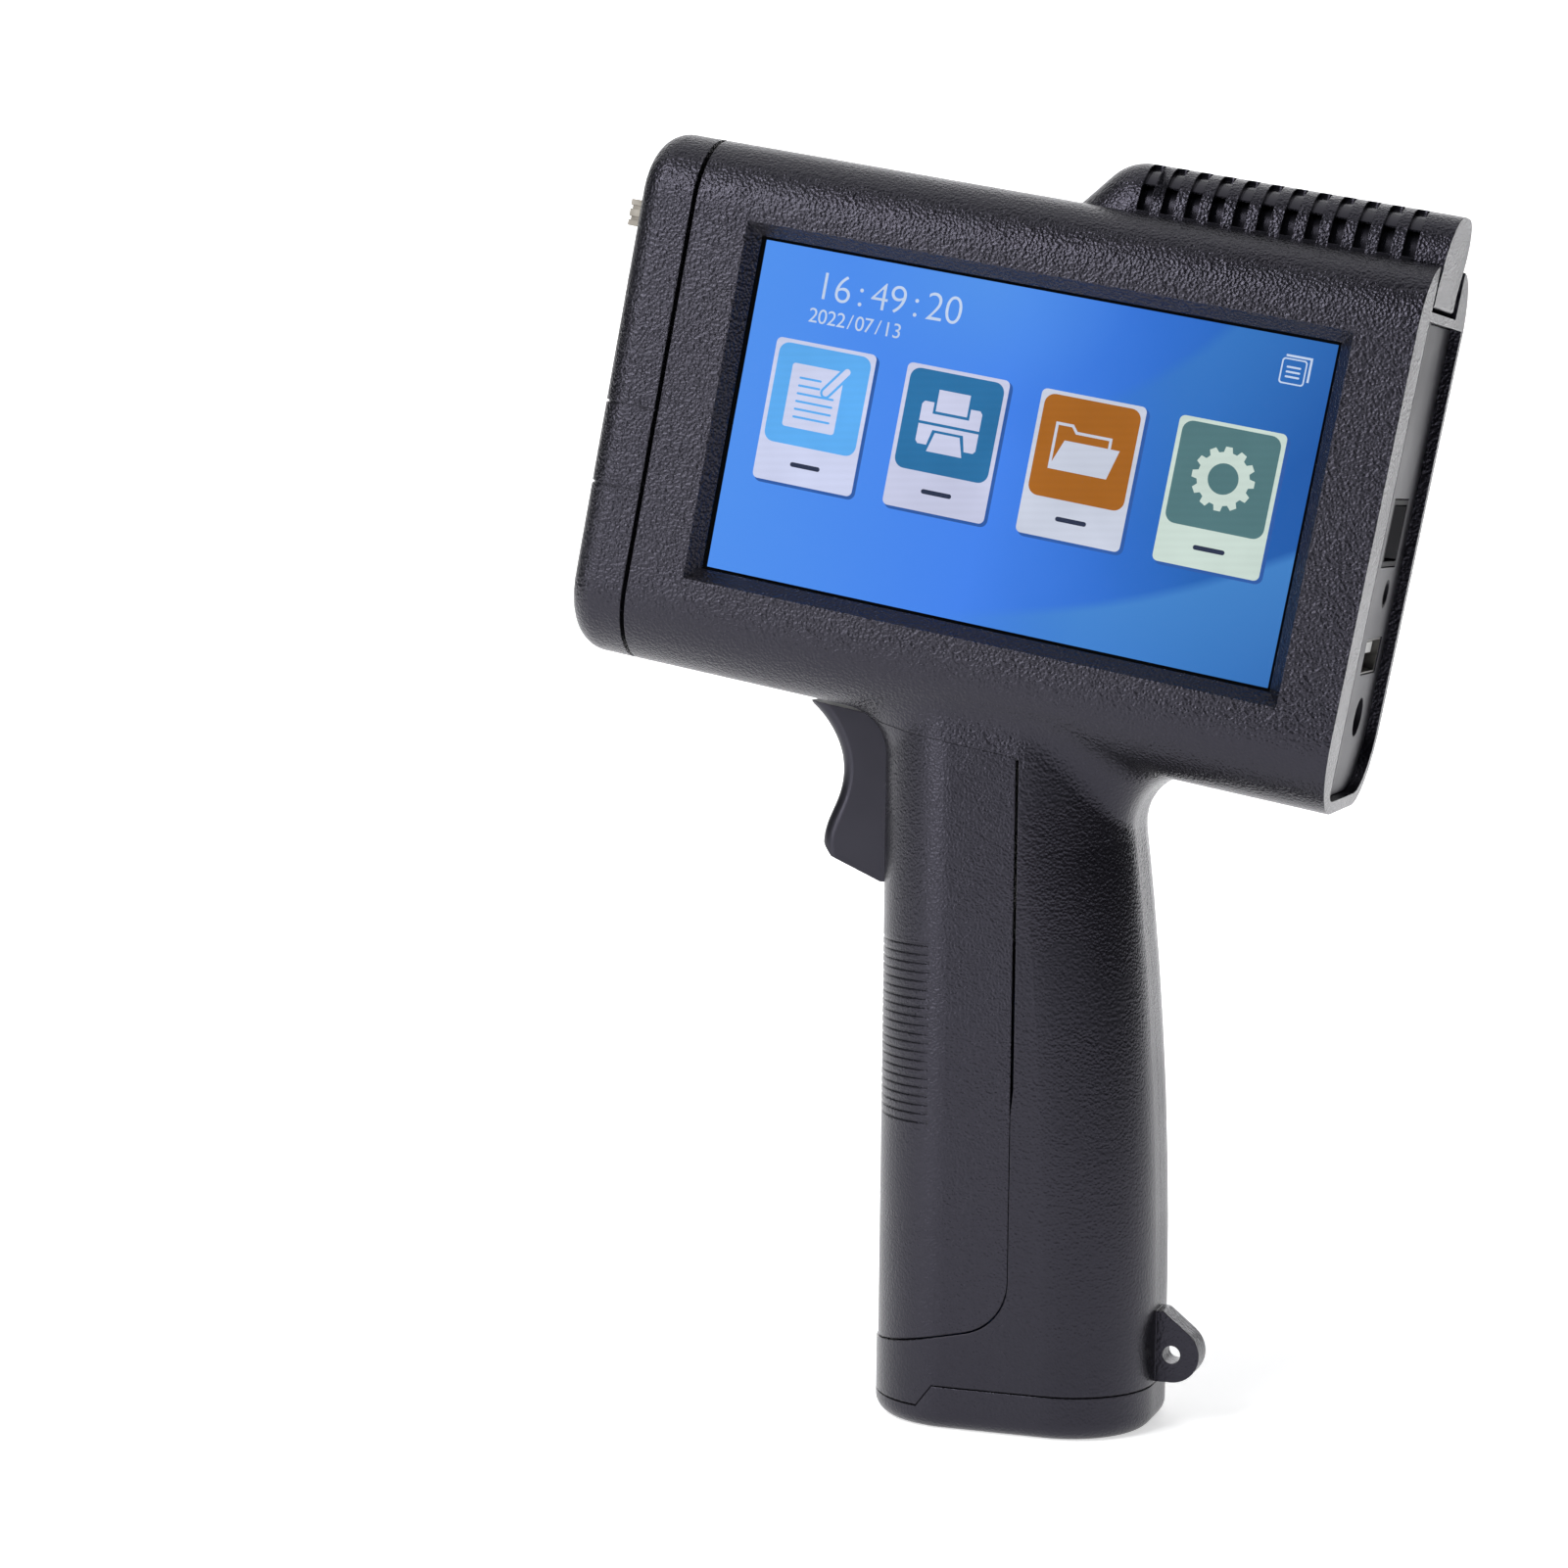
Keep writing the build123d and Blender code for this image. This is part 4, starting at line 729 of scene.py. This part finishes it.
def area_light(name, place, aim, width, height, watts):
    """A rectangular softbox at place, turned to aim."""
    light = bpy.data.lights.new(name, "AREA")
    light.shape = "RECTANGLE"
    light.size = width
    light.size_y = height
    light.energy = watts
    lamp = bpy.data.objects.new(name, light)
    lamp.location = place
    lamp.rotation_euler = (Vector(aim) - Vector(place)).to_track_quat("-Z", "Y").to_euler()
    bpy.context.scene.collection.objects.link(lamp)


SURROUND_STRENGTH = 0.08
OBJECT_MIDDLE = (0.0, 0.0, 0.12)


def build_light():
    """Softboxes at the upper left front, low on the left and above, a lit backdrop and a dim surround."""
    world = bpy.data.worlds.new("surround")
    world.use_nodes = True
    background = world.node_tree.nodes["Background"]
    background.inputs["Color"].default_value = rgb(0.86, 0.9, 1.0)
    background.inputs["Strength"].default_value = SURROUND_STRENGTH
    bpy.context.scene.world = world
    area_light("softbox_key", (-0.6, -1.05, 1.0), OBJECT_MIDDLE, width=0.7, height=0.5, watts=14)
    area_light("softbox_left", (-0.74, -1.08, 0.36), OBJECT_MIDDLE, width=0.36, height=0.5, watts=5)
    area_light("softbox_top", (0.0, 0.2, 1.6), OBJECT_MIDDLE, width=2.4, height=1.2, watts=8)
    area_light(
        "backdrop_light", (0.0, 0.9, 1.9), (0.0, STAGE_BACK, 0.9), width=4.0, height=1.0, watts=80
    )


CAMERA_PLACE = (0.1532, -0.5539, 0.1515)
CAMERA_AZIMUTH = math.radians(-19.52)
CAMERA_ELEVATION = math.radians(-4.69)
CAMERA_ROLL = math.radians(0.65)
CAMERA_LENS = 80.05


def build_camera():
    """The camera in front of the object and to its right, a little above its middle."""
    level = math.cos(CAMERA_ELEVATION)
    forward = Vector((
        math.sin(CAMERA_AZIMUTH) * level, math.cos(CAMERA_AZIMUTH) * level, math.sin(CAMERA_ELEVATION)
    ))
    camera_data = bpy.data.cameras.new("camera")
    camera_data.lens = CAMERA_LENS
    camera_data.sensor_width = 36.0
    camera_data.clip_start = 0.01
    camera = bpy.data.objects.new("camera", camera_data)
    camera.location = CAMERA_PLACE
    camera.rotation_mode = "QUATERNION"
    camera.rotation_quaternion = Quaternion(forward, -CAMERA_ROLL) @ forward.to_track_quat("-Z", "Y")
    bpy.context.scene.collection.objects.link(camera)
    bpy.context.scene.camera = camera


build_stage()
build_light()
build_camera()
bpy.context.scene.view_settings.view_transform = "Standard"
